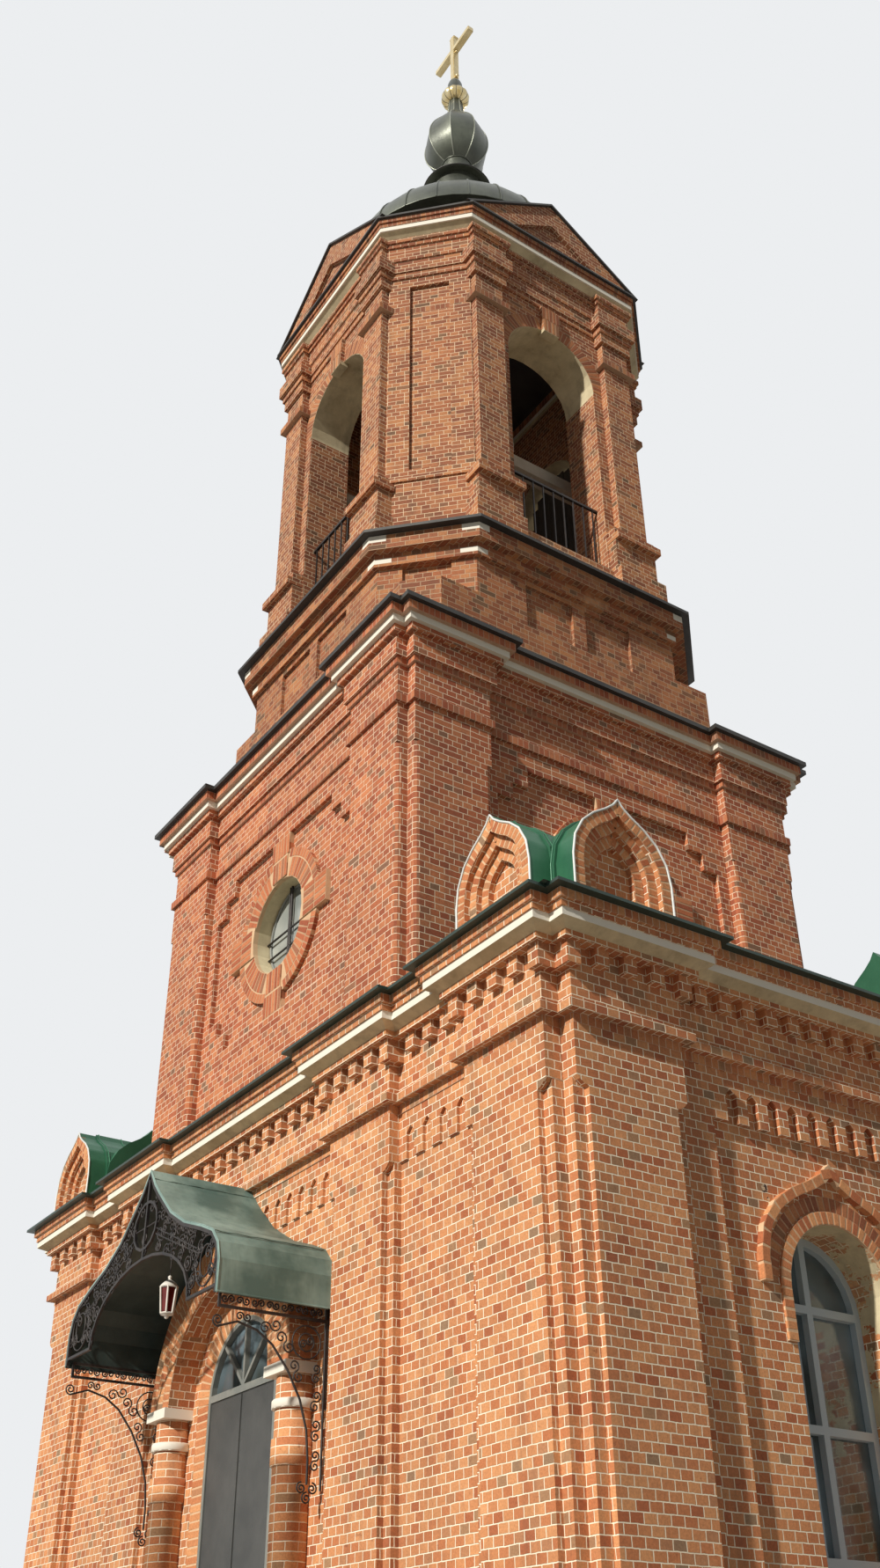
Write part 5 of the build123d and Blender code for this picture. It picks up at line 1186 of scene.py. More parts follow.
@dataclass
class Solids:
    """The carried over solids, with the names of those that share a finish."""

    finishes: tuple[tuple[Finish, str], ...] = (
        (Finishes.PLINTH_STONE, "plinth_and_steps hall_floor"),
        (Finishes.LOWER, "front_wall_left front_wall_right entrance_cornice kokoshnik_gables"),
        (Finishes.DOORWAY, "wall_over_door portal_brickwork"),
        (Finishes.RIGHT_REVEAL, "back_wall left_wall right_wall"),
        (Finishes.PLASTER, "hall_vault"),
        (Finishes.WHITE_STONE, "white_stone_bands portal_stones"),
        (Finishes.EAVES, "entrance_roof"),
        (Finishes.CANOPY, "canopy_roof"),
        (Finishes.IRON, "canopy_ironwork belfry_railings"),
        (Finishes.LAMP_GLASS, "canopy_lantern"),
        (Finishes.DOOR, "door_leaf_left door_leaf_right"),
        (Finishes.DOOR_FRAME, "door_frame"),
        (Finishes.FRAME, "window_frames"),
        (Finishes.GLASS, "window_glass"),
        (Finishes.MORTAR, "window_surrounds"),
        (Finishes.TOWER, "tower_wall_front tower_wall_back tower_wall_left tower_wall_right tower_cornice"),
        (Finishes.BEAM, "tower_ceiling bells_on_beam"),
        (Finishes.DARK_ROOF, "tower_roof belfry_floor belfry_roof"),
        (Finishes.DRUM, "drum_walls drum_cornice"),
        (Finishes.BELFRY, "belfry_piers belfry_arches belfry_cornice belfry_gables"),
        (Finishes.DOME, "dome onion_dome"),
        (Finishes.GILT, "cross"),
    )

    def build(self) -> None:
        """Gives every solid its finish."""
        dress = {node: finish for finish, nodes in self.finishes for node in nodes.split()}
        for name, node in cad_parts.items():
            material = dress[name].material()
            if not node.data.materials:
                node.data.materials.append(material)
            for i in range(len(node.data.materials)):
                node.data.materials[i] = material
            LOG.info("%s: %s", name, material.name)


@dataclass(frozen=True)
class KeelGables:
    """Size and places of the keel gables on the corners of the entrance block.

    Attributes:
        places: Each side, the plane of its gables and their distance from its middle.
    """

    half: float = 0.553
    foot: float = 7.79
    spring: float = 8.251
    top: float = 8.985
    places: tuple[tuple[Side, float, float], ...] = (
        (Side.FRONT, 3.290, 4.930), (Side.BACK, 3.290, 4.930),
        (Side.LEFT, 5.785, 2.465), (Side.RIGHT, 5.785, 2.465),
    )

    def outline(self, out: float, up: float, foot: float) -> list[Point]:
        """The gable's outline moved out and up, down to a foot."""
        return keel(self.half + out, self.spring, self.top + up, foot)


GABLES = KeelGables()


@dataclass
class BrickArches:
    """Rings, hoods and keys of single bricks over the doorway, the windows and the belfry arches.

    Radii are those of a ring's middle line, and faces are planes.

    Attributes:
        thick: Thickness of a brick along its line.
        proud: How far the bricks stand before their face.
        ear: Height of the bricks below a window's spring.
        hood: Half width, spring, top and foot of the hood over it.
        tower_faces: Faces of the rings and of the keys round the round windows.
        belfry_faces: Faces of the belfry ring and of its key.
        gable_rings: Inset of a gable's outer ring, and of each further one.
        gable_step: How far each further ring stands back.
    """

    thick: float = 0.062
    proud: float = 0.004
    deep: float = 0.12
    portal_face: float = 3.300
    portal_radii: tuple[float, ...] = (1.170, 1.318, 1.466)
    door_radius: float = 0.862
    window_radii: Point = (0.697, 0.826)
    ear: float = 0.43
    hood: tuple[float, float, float, float] = (0.942, 5.17, 6.070, 4.96)
    tower_faces: Point = (2.921, 2.936)
    oculus_radii: Point = (0.738, 0.930)
    belfry_radius: float = 0.958
    belfry_faces: Point = (2.430, 2.500)
    gable_rings: Point = (0.055, 0.110)
    gable_step: float = 0.060

    def row(self, name: str, side: Side, plane: float, lines: Sequence[Outline], length: float,
            finish: Finish, thick: float = 0.0, pitch: float = BRICK_PITCH, deep: float = 0.0,
            radius: float = 0.0) -> Piece:
        """Row of bricks on one face, a hair proud of its plane.

        Args:
            name: The row's name.
            side: The face it is on.
            plane: Distance of the face from the middle of the building.
            lines: Middle lines in elevation.
            length: Length of a brick away from its line.
            finish: Finish of the bricks.
            thick: Thickness along the line, if not the usual one.
            pitch: Distance from brick to brick.
            deep: Depth into the wall, if not the usual one.
            radius: Radius of the ring that the bricks are cut for, if any.

        Returns:
            The row.
        """
        deep = deep or self.deep
        middle = -(plane + self.proud) + deep / 2
        places = [turned(side, at(middle, trimmed(line, pitch / 2))) for line in lines]
        across = turned(side, [(0.0, 1.0, 0.0)])[0]
        size = (thick or self.thick, deep, length)
        bricks = lay_bricks(name, places, size, finish, pitch, across, side.value + 3, radius)
        mortar = Finishes.MORTAR if finish is Finishes.ARCH_BRICK else Finishes.OLD_MORTAR
        bed = self.bed(name + "_bed", side, plane + self.proud * 0.4, lines, length / 2, mortar)
        return joined(name, [bricks, bed])

    def bed(self, name: str, side: Side, plane: float, lines: Sequence[Outline], half: float,
            finish: Finish) -> Piece:
        """Mortar that shows between the bricks of a row.

        Args:
            name: The bed's name.
            side: The face it is on.
            plane: Distance of its surface from the middle of the building.
            lines: Middle lines in elevation.
            half: Half its width.
            finish: Its finish.

        Returns:
            The bed, a sheet that faces outward.
        """
        form = bmesh.new()
        for line in lines:
            rows = []
            for i, (x, z) in enumerate(line):
                (x0, z0), (x1, z1) = line[max(i - 1, 0)], line[min(i + 1, len(line) - 1)]
                far = math.hypot(x1 - x0, z1 - z0)
                nx, nz = (z1 - z0) / far * half, -(x1 - x0) / far * half
                pair = turned(side, [(x + nx, -plane, z + nz), (x - nx, -plane, z - nz)])
                rows.append([form.verts.new(place) for place in pair])
            for (a, b), (c, d) in zip(rows, rows[1:]):
                form.faces.new((a, b, d, c))
        outward = turned(side, [(0.0, -1.0, 0.0)])[0]
        form.normal_update()
        for face in form.faces:
            if face.normal.dot(Vector(outward)) < 0:
                face.normal_flip()
        return from_form(name, form, finish)

    def build(self) -> None:
        """Builds every arch."""
        self.portal()
        self.windows()
        self.round_windows()
        self.belfry()
        self.gables()

    def portal(self) -> None:
        """Three rings of the portal and the ring over the door itself."""
        brick, middle = Finishes.ARCH_BRICK, (0.0, PLAN.door_spring)
        parts = []
        for i, radius in enumerate(self.portal_radii):
            ring = [arc(radius, middle, 0, 180, 48)]
            parts.append(self.row(f"portal_ring_{i}", Side.FRONT, self.portal_face, ring, 0.140, brick, 0.063,
                                  deep=0.2, radius=radius))
        door = [arc(self.door_radius, middle, 0, 180, 40)]
        parts.append(self.row("door_ring", Side.FRONT, PLAN.wall, door, 0.240, brick, 0.064, deep=0.16,
                              radius=self.door_radius))
        jambs = [[(s * self.door_radius, 0.80), (s * self.door_radius, PLAN.door_spring)] for s in (-1, 1)]
        parts.append(self.row("door_jambs", Side.FRONT, PLAN.wall, jambs, 0.240, brick, 0.066, 0.078, 0.16))
        keep(joined("portal_arch_bricks", parts), "red_brick")

    def windows(self) -> None:
        """Ring, second ring, ears and keel shaped hood of the tall windows."""
        spring = PLAN.window_spring
        first, second = self.window_radii
        brick = Finishes.ARCH_BRICK
        inner = [arc(first, (0.0, spring), 0, 180, 40)]
        ears = [[(s * (first - 0.002), spring - self.ear), (s * (first - 0.002), spring)] for s in (-1, 1)]
        outer = [arc(second, (0.0, spring), 6, 174, 40)]
        hood = [keel(*self.hood)]
        for side, face in ((Side.RIGHT, PLAN.flank), (Side.LEFT, PLAN.flank), (Side.BACK, PLAN.wall)):
            name = side.label
            parts = [
                self.row(name + "_ring", side, face + 0.020, inner, 0.112, brick, 0.063, radius=first),
                self.row(name + "_ears", side, face + 0.020, ears, 0.112, brick, 0.066, 0.078),
                self.row(name + "_second_ring", side, face, outer, 0.130, Finishes.OLD_ARCH_BRICK, 0.064,
                         radius=second),
                self.row(name + "_hood", side, face + 0.065, hood, 0.090, brick, 0.128, 0.139),
            ]
            keep(joined(name + "_window_hood_bricks", parts), "red_brick")

    def round_windows(self) -> None:
        """Two rings, keys and ears round each oculus."""
        z, brick = PLAN.oculus, Finishes.TOWER_ARCH_BRICK
        face, key_face = self.tower_faces
        first, second = self.oculus_radii
        quarters = (0, 90, 180, 270)
        inner = [arc(first, (0.0, z), start + 20, start + 70, 14) for start in quarters]
        outer = [arc(second, (0.0, z), start + 14, start + 76, 16) for start in quarters]
        keys, ears = [], []
        for s in (1, -1):
            for half, away in ((0.178, 0.755), (0.215, 1.060)):
                keys.append([(-half, z + s * away), (half, z + s * away)])
            for away in (0.790, 1.060):
                ears.append([(s * away, z - 0.205), (s * away, z + 0.205)])
        for side in Side:
            name = side.label
            parts = [
                self.row(name + "_inner_ring", side, face, inner, 0.245, brick, 0.065, radius=first),
                self.row(name + "_outer_ring", side, face, outer, 0.115, brick, 0.065, radius=second),
                self.row(name + "_keys", side, key_face, keys, 0.280, brick, 0.058, 0.0700),
                self.row(name + "_ears", side, key_face, ears, 0.260, brick, 0.066, 0.0800),
            ]
            keep(joined(name + "_oculus_bricks", parts), "red_brick")

    def belfry(self) -> None:
        """Ring and proud key of each belfry arch."""
        middle, radius, brick = (0.0, PLAN.belfry_spring), self.belfry_radius, Finishes.OLD_ARCH_BRICK
        ring = [arc(radius, middle, start, end, 20) for start, end in ((0, 79), (101, 180))]
        keys = [[(-half, z), (half, z)] for half, z in ((0.150, 20.625), (0.170, 20.905))]
        for side in Side:
            name = side.label
            face, key_face = self.belfry_faces
            parts = [
                self.row(name + "_arch_ring", side, face, ring, 0.250, brick, 0.065, radius=radius),
                self.row(name + "_arch_key", side, key_face, keys, 0.268, brick, 0.056, 0.0680),
            ]
            keep(joined(name + "_belfry_arch_bricks", parts), "red_brick")

    def gables(self) -> None:
        """Three receding rings of every keel gable, set brick by brick."""
        for side, plane, off in GABLES.places:
            parts = []
            for order in range(3):
                inset = self.gable_rings[0] + self.gable_rings[1] * order
                outline = GABLES.outline(-inset, -1.25 * inset, GABLES.foot + 0.03)
                lines = [[(x + s * off, z) for x, z in outline] for s in (-1, 1)]
                name = f"{side.label}_gable_ring_{order}"
                face = plane - self.gable_step * order
                parts.append(self.row(name, side, face, lines, 0.104, Finishes.ARCH_BRICK, deep=0.08))
            keep(joined(side.label + "_keel_gable_bricks", parts), "red_brick")


@dataclass
class PortalColumns:
    """Round brick shafts, swelling from the bulge's level up, and their white stone rings with a lip."""

    x: float = 1.328
    y: float = -3.110
    radius: float = 0.181
    foot: float = 1.05
    ring: float = 4.39
    head: float = 4.69
    bulge: float = 3.90
    swelling: float = 0.022
    lip: float = 0.035
    sides: int = 48

    def build(self) -> None:
        """Builds both columns."""
        r, swollen, out = self.radius, self.radius + self.swelling, self.radius + self.lip
        low, high = self.bulge, self.bulge + 0.23
        body = [(r, self.foot), (r, low), (swollen, low + 0.004), (swollen, high), (r, high + 0.004),
                (r, self.ring), (r, self.head)]
        stone = [(r, self.ring - 0.002), (out - 0.008, self.ring), (out, self.ring + 0.010),
                 (out, self.ring + 0.070), (out - 0.008, self.ring + 0.080), (r, self.ring + 0.082)]
        shafts, rings = [], []
        for s in (-1, 1):
            centre = (s * self.x, self.y)
            shafts.append(turned_form(f"shaft_{s}", body, self.sides, Finishes.COLUMN, centre))
            rings.append(turned_form(f"ring_{s}", stone, self.sides, Finishes.WHITE_STONE, centre))
        keep(joined("portal_column_shafts", shafts), "red_brick")
        keep(joined("portal_column_rings", rings), "white_stone")


def volute(centre: Point, size: float, start: float, turns: float, hand: int) -> list[Point]:
    """Forged scroll that winds in on itself.

    Args:
        centre: Its eye.
        size: Its outer radius.
        start: Bearing of its outer end in degrees.
        turns: How often it winds round.
        hand: One to the left or minus one to the right.

    Returns:
        The points from the outer end to the eye.
    """
    points = []
    steps = int(14 * turns)
    for i in range(steps + 1):
        share = i / steps
        turn = math.radians(start) + hand * 2 * math.pi * turns * share
        radius = size * (1 - 0.82 * share)
        points.append((centre[0] + radius * math.cos(turn), centre[1] + radius * math.sin(turn)))
    return points


def pair_of_scrolls(centre: Point, size: float, lean: float, hand: int = 1) -> list[list[Point]]:
    """Two scrolls back to back, leaning by an angle in degrees."""
    reach, winds = 0.95, 1.35
    c, s = math.cos(math.radians(lean)), math.sin(math.radians(lean))
    first = (centre[0] - c * size * reach, centre[1] - s * size * reach)
    second = (centre[0] + c * size * reach, centre[1] + s * size * reach)
    return [volute(first, size, lean, winds, hand), volute(second, size, lean + 180, winds, hand)]


@dataclass
class Canopy:
    """Ironwork, edges and lamp of the sheet metal canopy over the door.

    Attributes:
        foot: Level of the canopy's lower edge.
        side: Distance of the brackets from the middle.
        wall: Plane of their wall bars.
        bar: Half the thickness of the bars, as for the scrolls.
        profile: The canopy's edge from its ridge down, over its foot.
    """

    foot: float = 5.189
    front: float = -4.215
    side: float = 1.7325
    wall: float = -3.035
    bar: float = 0.0110
    scroll: float = 0.0080
    front_scroll: float = 0.0085
    lamp_place: Place = (0.0, -3.900, 5.439)
    lamp_head: float = 5.699
    profile: tuple[Point, ...] = (
        (0.0, 1.676), (0.150, 1.491), (0.285, 1.362), (0.621, 1.074), (0.966, 0.888),
        (1.370, 0.746), (1.620, 0.641), (1.750, 0.501), (1.800, 0.334), (1.800, 0.031),
    )

    def build(self) -> None:
        """Builds the ironwork, the edges and the lamp."""
        self.lattice()
        self.brackets()
        self.sheet_edges()
        self.lamp()

    def rim(self, inset: float) -> list[Point]:
        """Line of the canopy edge moved in."""
        right = [(x, self.foot + z) for x, z in self.profile]
        moved = []
        for i, (x, z) in enumerate(right):
            x0, z0 = right[max(i - 1, 0)]
            x1, z1 = right[min(i + 1, len(right) - 1)]
            far = math.hypot(x1 - x0, z1 - z0)
            moved.append((max(x + (z1 - z0) / far * inset, 0.0), z - (x1 - x0) / far * inset))
        return [(-x, z) for x, z in reversed(moved)] + moved[1:]

    def lattice(self) -> None:
        """Scroll lattice that fills the front above the arched bar."""
        spring = self.foot + 0.111
        half, rise = 1.300, 0.780
        thin: list[list[Point]] = []
        for x, z in arc(half, (0.0, spring), 170, 10, 20, rise)[::2]:
            lean = math.degrees(math.atan2(rise * x, half * (z - spring + 0.001)))
            thin += pair_of_scrolls((x, z), 0.068, -lean + 90, 1 if x < 0 else -1)
        along = trimmed(self.rim(0.130), 0.12)
        total = sum(math.dist(a, b) for a, b in zip(along, along[1:]))
        count = 20
        for i in range(count):
            x, z, lean = self.step_along(along, total * (i + 0.5) / count)
            if abs(x) > 0.16:
                thin += pair_of_scrolls((x, z), 0.064, lean + 90, 1 if x > 0 else -1)
        for s in (-1, 1):
            thin += [arc(0.205, (s * 1.500, self.foot + 0.380), 0, 360, 28, 0.235),
                     arc(0.120, (s * 1.500, self.foot + 0.380), 0, 360, 20, 0.150)]
            for up, reach in ((1.000, 1.150), (0.940, 1.200)):
                thin.append([(s * 0.270, self.foot + up), (s * (reach + 0.14), self.foot + up - 0.46)])
            for k in range(5):
                share = (k + 0.5) / 5
                centre = (s * (0.33 + 0.88 * share), self.foot + 0.880 - 0.42 * share)
                thin += pair_of_scrolls(centre, 0.066, 60 * s, s)
                thin += pair_of_scrolls((centre[0] + s * 0.03, centre[1] + 0.215), 0.060, 120 * s, -s)
            for k in range(4):
                turn = math.radians(45 + 90 * k)
                centre = (s * 1.5 + 0.16 * math.cos(turn), self.foot + 0.38 + 0.19 * math.sin(turn))
                thin.append(volute(centre, 0.050, 90 * k, 1.4, s))
            for k in range(3):
                thin += pair_of_scrolls((s * (1.18 + 0.06 * k), self.foot + 0.20 + 0.12 * k), 0.050, 90, s)
        thin.append([(-0.235, self.foot + 1.07), (0.235, self.foot + 1.07)])
        lines = [at(self.front, line) for line in thin]
        keep(lay_rods("canopy_front_scrolls", lines, self.front_scroll, Finishes.IRON, 5), "dark_iron")

    def step_along(self, line: Outline, distance: float) -> tuple[float, float, float]:
        """Place at a distance along a line.

        Args:
            line: The line.
            distance: How far along it.

        Returns:
            The place, across and up, and the line's bearing there in degrees.
        """
        for (x0, z0), (x1, z1) in zip(line, line[1:]):
            far = math.dist((x0, z0), (x1, z1))
            if distance <= far:
                share = distance / far
                bearing = math.degrees(math.atan2(z1 - z0, x1 - x0))
                return x0 + (x1 - x0) * share, z0 + (z1 - z0) * share, bearing
            distance -= far
        return line[-1][0], line[-1][1], 0.0

    def brackets(self) -> None:
        """Long brackets with scrolls between their bars and a tail down the wall."""
        top, middle, low = self.foot + 0.064, self.foot - 0.070, 3.66
        brace = ((-4.160, 4.935), (-3.960, 5.000), (-3.760, 4.950), (-3.590, 4.840), (-3.420, 4.640),
                 (-3.280, 4.400), (-3.200, 4.150), (-3.175, 3.900), (-3.175, 3.700))
        wheel = (-3.235, 4.905)
        pairs = ((-3.62, 5.000, 0.060, 20), (-3.46, 4.880, 0.060, -40), (-3.90, 5.050, 0.040, 0),
                 (-3.330, 4.640, 0.055, -60), (-3.120, 4.640, 0.045, 90), (-3.115, 4.400, 0.050, 80),
                 (-3.105, 4.150, 0.050, 90), (-3.100, 3.900, 0.046, 90))
        tail = ((-3.230, 3.670, 1), (-3.120, 3.670, -1), (-3.175, 3.590, 1))
        scrolls: list[list[Point]] = []
        for k in range(7):
            centre = (-4.07 + 0.155 * k, (top + middle) / 2)
            scrolls += pair_of_scrolls(centre, 0.036, 0, 1 if k % 2 else -1)
        scrolls += [arc(0.150, wheel, 0, 360, 24), arc(0.080, wheel, 0, 360, 18)]
        scrolls += pair_of_scrolls(wheel, 0.040, 30)
        for y, z, size, lean in pairs:
            scrolls += pair_of_scrolls((y, z), size, lean)
        scrolls += [volute((y, z), 0.050, 90, 1.6, hand) for y, z, hand in tail]
        scrolls.append(volute((-4.160, 4.990), 0.055, -90, 1.6, -1))
        thick: list[Line] = []
        thin: list[Line] = []
        for x in (-self.side, self.side):
            thick.append([(x, self.wall, low), (x, self.wall, top)])
            thick.append([(x, y, z) for y, z in brace])
            thin += [[(x, y, z) for y, z in line] for line in scrolls]
        parts = [lay_rods("bars", thick, self.bar, Finishes.IRON, 6),
                 lay_rods("scrolls", thin, self.scroll, Finishes.IRON, 5)]
        keep(joined("canopy_bracket_scrolls", parts), "dark_iron")

    def sheet_edges(self) -> None:
        """Rolled edges and folded seams of the sheets."""
        laps: list[Line] = []
        steps, start, depth = 16, -4.222, 1.18
        for x, up in ((1.655, 0.622), (0.100, 1.556)):
            for s in (-1, 1):
                places = []
                for k in range(steps + 1):
                    sway = 0.006 * math.sin(k * 1.9 + s) + 0.004 * math.sin(k * 4.3)
                    places.append((s * (x + sway * 0.5), start + depth * k / steps, self.foot + up + sway))
                laps.append(places)
        laps.append(at(-4.221, self.rim(-0.002)))
        keep(lay_rods("canopy_sheet_seams", laps, 0.006, Finishes.CANOPY, 6), "canopy_metal")
        half, low = self.profile[-1][0], self.foot + self.profile[-1][1]
        edge = [[(s * half, -4.225, low), (s * half, -3.06, low)] for s in (-1, 1)]
        keep(lay_rods("canopy_rolled_edges", edge, 0.012, Finishes.CANOPY, 8), "canopy_metal")

    def lamp(self) -> None:
        """Six sided lantern with a domed top, ribs and a hook."""
        x, y, low = self.lamp_place
        high, sides, centre = self.lamp_head, 6, (x, y)
        corners = []
        for i in range(sides):
            turn = math.radians(60 * i + 30)
            c, s = math.cos(turn), math.sin(turn)
            corners.append([(x + r * c, y + r * s, z) for r, z in ((0.066, low), (0.092, high))])
        ribs = list(corners)
        for end in (0, 1):
            ring = [pair[end] for pair in corners]
            ribs.append(ring + [ring[0]])
        cap = [(0.096, 0.0), (0.086, 0.022), (0.056, 0.052), (0.028, 0.070), (0.012, 0.084), (0.020, 0.096),
               (0.020, 0.108), (0.006, 0.120)]
        pan = [(0.008, -0.050), (0.020, -0.040), (0.024, -0.020), (0.060, -0.012), (0.070, 0.0)]
        parts = [lay_rods("lamp_ribs", ribs, 0.0105, Finishes.LAMP_FRAME, 6)]
        for name, rings, level in (("lamp_cap", cap, high), ("lamp_pan", pan, low)):
            lifted = [(r, level + z) for r, z in rings]
            parts.append(turned_form(name, lifted, 24, Finishes.LAMP_FRAME, centre))
        keep(joined("lantern_frame", parts), "white_stone")
        panes = [(0.060, low + 0.002), (0.084, high - 0.002)]
        glass = turned_form("lantern_panes", panes, sides, Finishes.LAMP_GLASS, centre, False)
        glass.data.transform(Matrix.Translation((x, y, 0)) @ Matrix.Rotation(math.radians(30), 4, "Z")
                             @ Matrix.Translation((-x, -y, 0)))
        keep(glass, "lantern_glass", "building", "canopy_lantern")
        hook = [[(x, y, high + 0.09), (x, y, self.foot + 1.652)]]
        keep(lay_rods("lantern_chain", hook, 0.006, Finishes.IRON, 6), "dark_iron")


def smooth_rings(rings: Outline, fine: int = 5) -> list[Point]:
    """Rings of a turned form joined by a soft curve.

    Args:
        rings: Set rings of radius and level.
        fine: Pieces between two of them.

    Returns:
        The closer rings.
    """
    ends = [rings[0], *rings, rings[-1]]
    found = [rings[0]]
    for a, b, c, d in zip(ends, ends[1:], ends[2:], ends[3:]):
        for k in range(1, fine + 1):
            t = k / fine
            mixed = []
            for p, q, r, o in zip(a, b, c, d):
                mixed.append(0.5 * (2 * q + (r - p) * t + (2 * p - 5 * q + 4 * r - o) * t * t
                                    + (3 * q - p - 3 * r + o) * t ** 3))
            found.append((mixed[0], mixed[1]))
    return found


def gored(name: str, rings: Outline, sides: int, finish: Finish, bulge: float = 0.0,
          split: int = 1) -> Piece:
    """Closed form of gores, each shaded round from foot to top and sharp against the next.

    Args:
        name: The piece's name.
        rings: Radius and level from the foot up.
        sides: Number of gores.
        finish: Its finish.
        bulge: How far a gore swells beyond the flat, as a share of the radius.
        split: Strips to a gore.

    Returns:
        The piece.
    """
    count, crease = sides * split, math.radians(14)
    form = bmesh.new()
    rows = []
    for radius, z in rings:
        row = []
        for i in range(count):
            turn = 2 * math.pi * i / count
            part = (i % split) / split
            flat = math.cos(math.pi / sides) / math.cos(math.pi / sides * (2 * part - 1))
            far = radius * (flat + bulge * math.sin(math.pi * part))
            row.append(form.verts.new((far * math.sin(turn), far * math.cos(turn), z)))
        rows.append(row)
    for low, high in zip(rows, rows[1:]):
        for i in range(count):
            j = (i + 1) % count
            form.faces.new((low[j], low[i], high[i], high[j])).smooth = True
    form.faces.new(rows[0])
    form.faces.new(list(reversed(rows[-1])))
    bmesh.ops.recalc_face_normals(form, faces=form.faces)
    for edge in form.edges:
        if len(edge.link_faces) == 2 and edge.calc_face_angle(0.0) > crease:
            edge.smooth = False
    return from_form(name, form, finish)


def meridians(rings: Outline, count: int, lift: float) -> list[Line]:
    """Lines up a turned form, a little off its surface."""
    lines = []
    for i in range(count):
        turn = 2 * math.pi * i / count
        lines.append([((r + lift) * math.sin(turn), (r + lift) * math.cos(turn), z) for r, z in rings])
    return lines


def hoop(radius: float, z: float) -> Line:
    """Level ring of points."""
    turns = [2 * math.pi * i / HOOP_POINTS for i in range(HOOP_POINTS)]
    return [(radius * math.sin(turn), radius * math.cos(turn), z) for turn in turns]


@dataclass
class Dome:
    """Low sheet metal dome of gores with its neck, collar and the onion on top.

    The neck is a round stem above its collar. Seams and ribs have half their thickness here.
    """

    foot: float = 24.011
    wide: float = 2.161
    rise: float = 1.689
    gores: int = 24
    neck: float = 0.530
    neck_foot: float = 25.700
    collar: float = 27.138
    collar_reach: float = 0.662
    stem: float = 0.300
    onion_foot: float = 28.000
    onion_sides: int = 8
    seam: float = 0.013
    rib: float = 0.012
    onion_rings: tuple[Point, ...] = (
        (0.300, 0.0), (0.480, 0.130), (0.600, 0.350), (0.640, 0.626), (0.610, 0.900),
        (0.520, 1.150), (0.380, 1.400), (0.250, 1.600), (0.172, 1.760), (0.137, 2.239),
    )

    def build(self) -> None:
        """Builds the dome, the neck and the onion."""
        cap = self.cap()
        self.shell(cap)
        self.seams(cap)
        self.onion()

    def cap(self) -> list[Point]:
        """Rings of the dome up to the neck."""
        steps, last = 12, 75
        found = []
        for k in range(steps):
            bend = math.radians(last * k / steps)
            found.append((self.wide * math.cos(bend), self.foot + self.rise * math.sin(bend)))
        found.append((self.neck, self.neck_foot))
        return found

    def shell(self, cap: Outline) -> None:
        """The dome's gores and the round neck with its collar."""
        rings = [(self.wide - 0.05, self.foot - 0.004), *cap]
        shell = gored("dome_shell", rings, self.gores, Finishes.DOME, 0.004, 3)
        far, level = self.collar_reach, self.collar
        upper = [(self.neck, self.neck_foot - 0.01), (self.neck, level - 0.002), (far - 0.012, level),
                 (far, level + 0.006), (far, level + 0.026), (far - 0.022, level + 0.036),
                 (self.stem, level + 0.160), (self.stem, self.onion_foot)]
        neck = gored("dome_neck", upper, 32, Finishes.DOME)
        keep(joined("dome_and_neck", [shell, neck]), "dome_metal", "building", "dome")

    def seams(self, cap: Outline) -> None:
        """Seams up the dome, hoops round it and the collar's dark edge."""
        round_stem = self.stem + 0.006
        hoops = [hoop(self.wide - 0.004, self.foot + 0.008),
                 hoop(self.neck + 0.014, self.neck_foot + 0.016),
                 hoop(round_stem, self.collar + 0.172),
                 hoop(round_stem, self.onion_foot - 0.045)]
        edge = [hoop(self.collar_reach + 0.002, self.collar + 0.015)]
        parts = [lay_rods("seams", meridians(cap, self.gores, 0.006), self.seam, Finishes.DOME, 6),
                 lay_rods("hoops", hoops, 0.015, Finishes.DOME, 6, True),
                 lay_rods("collar_edge", edge, 0.014, Finishes.DARK_ROOF, 6, True)]
        keep(joined("dome_seams", parts), "dome_metal")

    def onion(self) -> None:
        """The onion with a pale rib on each of its edges."""
        rings = [(r, self.onion_foot + z) for r, z in smooth_rings(self.onion_rings)]
        onion = gored("onion", rings, self.onion_sides, Finishes.DOME, 0.012, 4)
        keep(onion, "dome_metal", "building", "onion_dome")
        ribs = meridians(rings, self.onion_sides, 0.002)
        keep(lay_rods("onion_ribs", ribs, self.rib, Finishes.RIB, 6), "dome_metal")


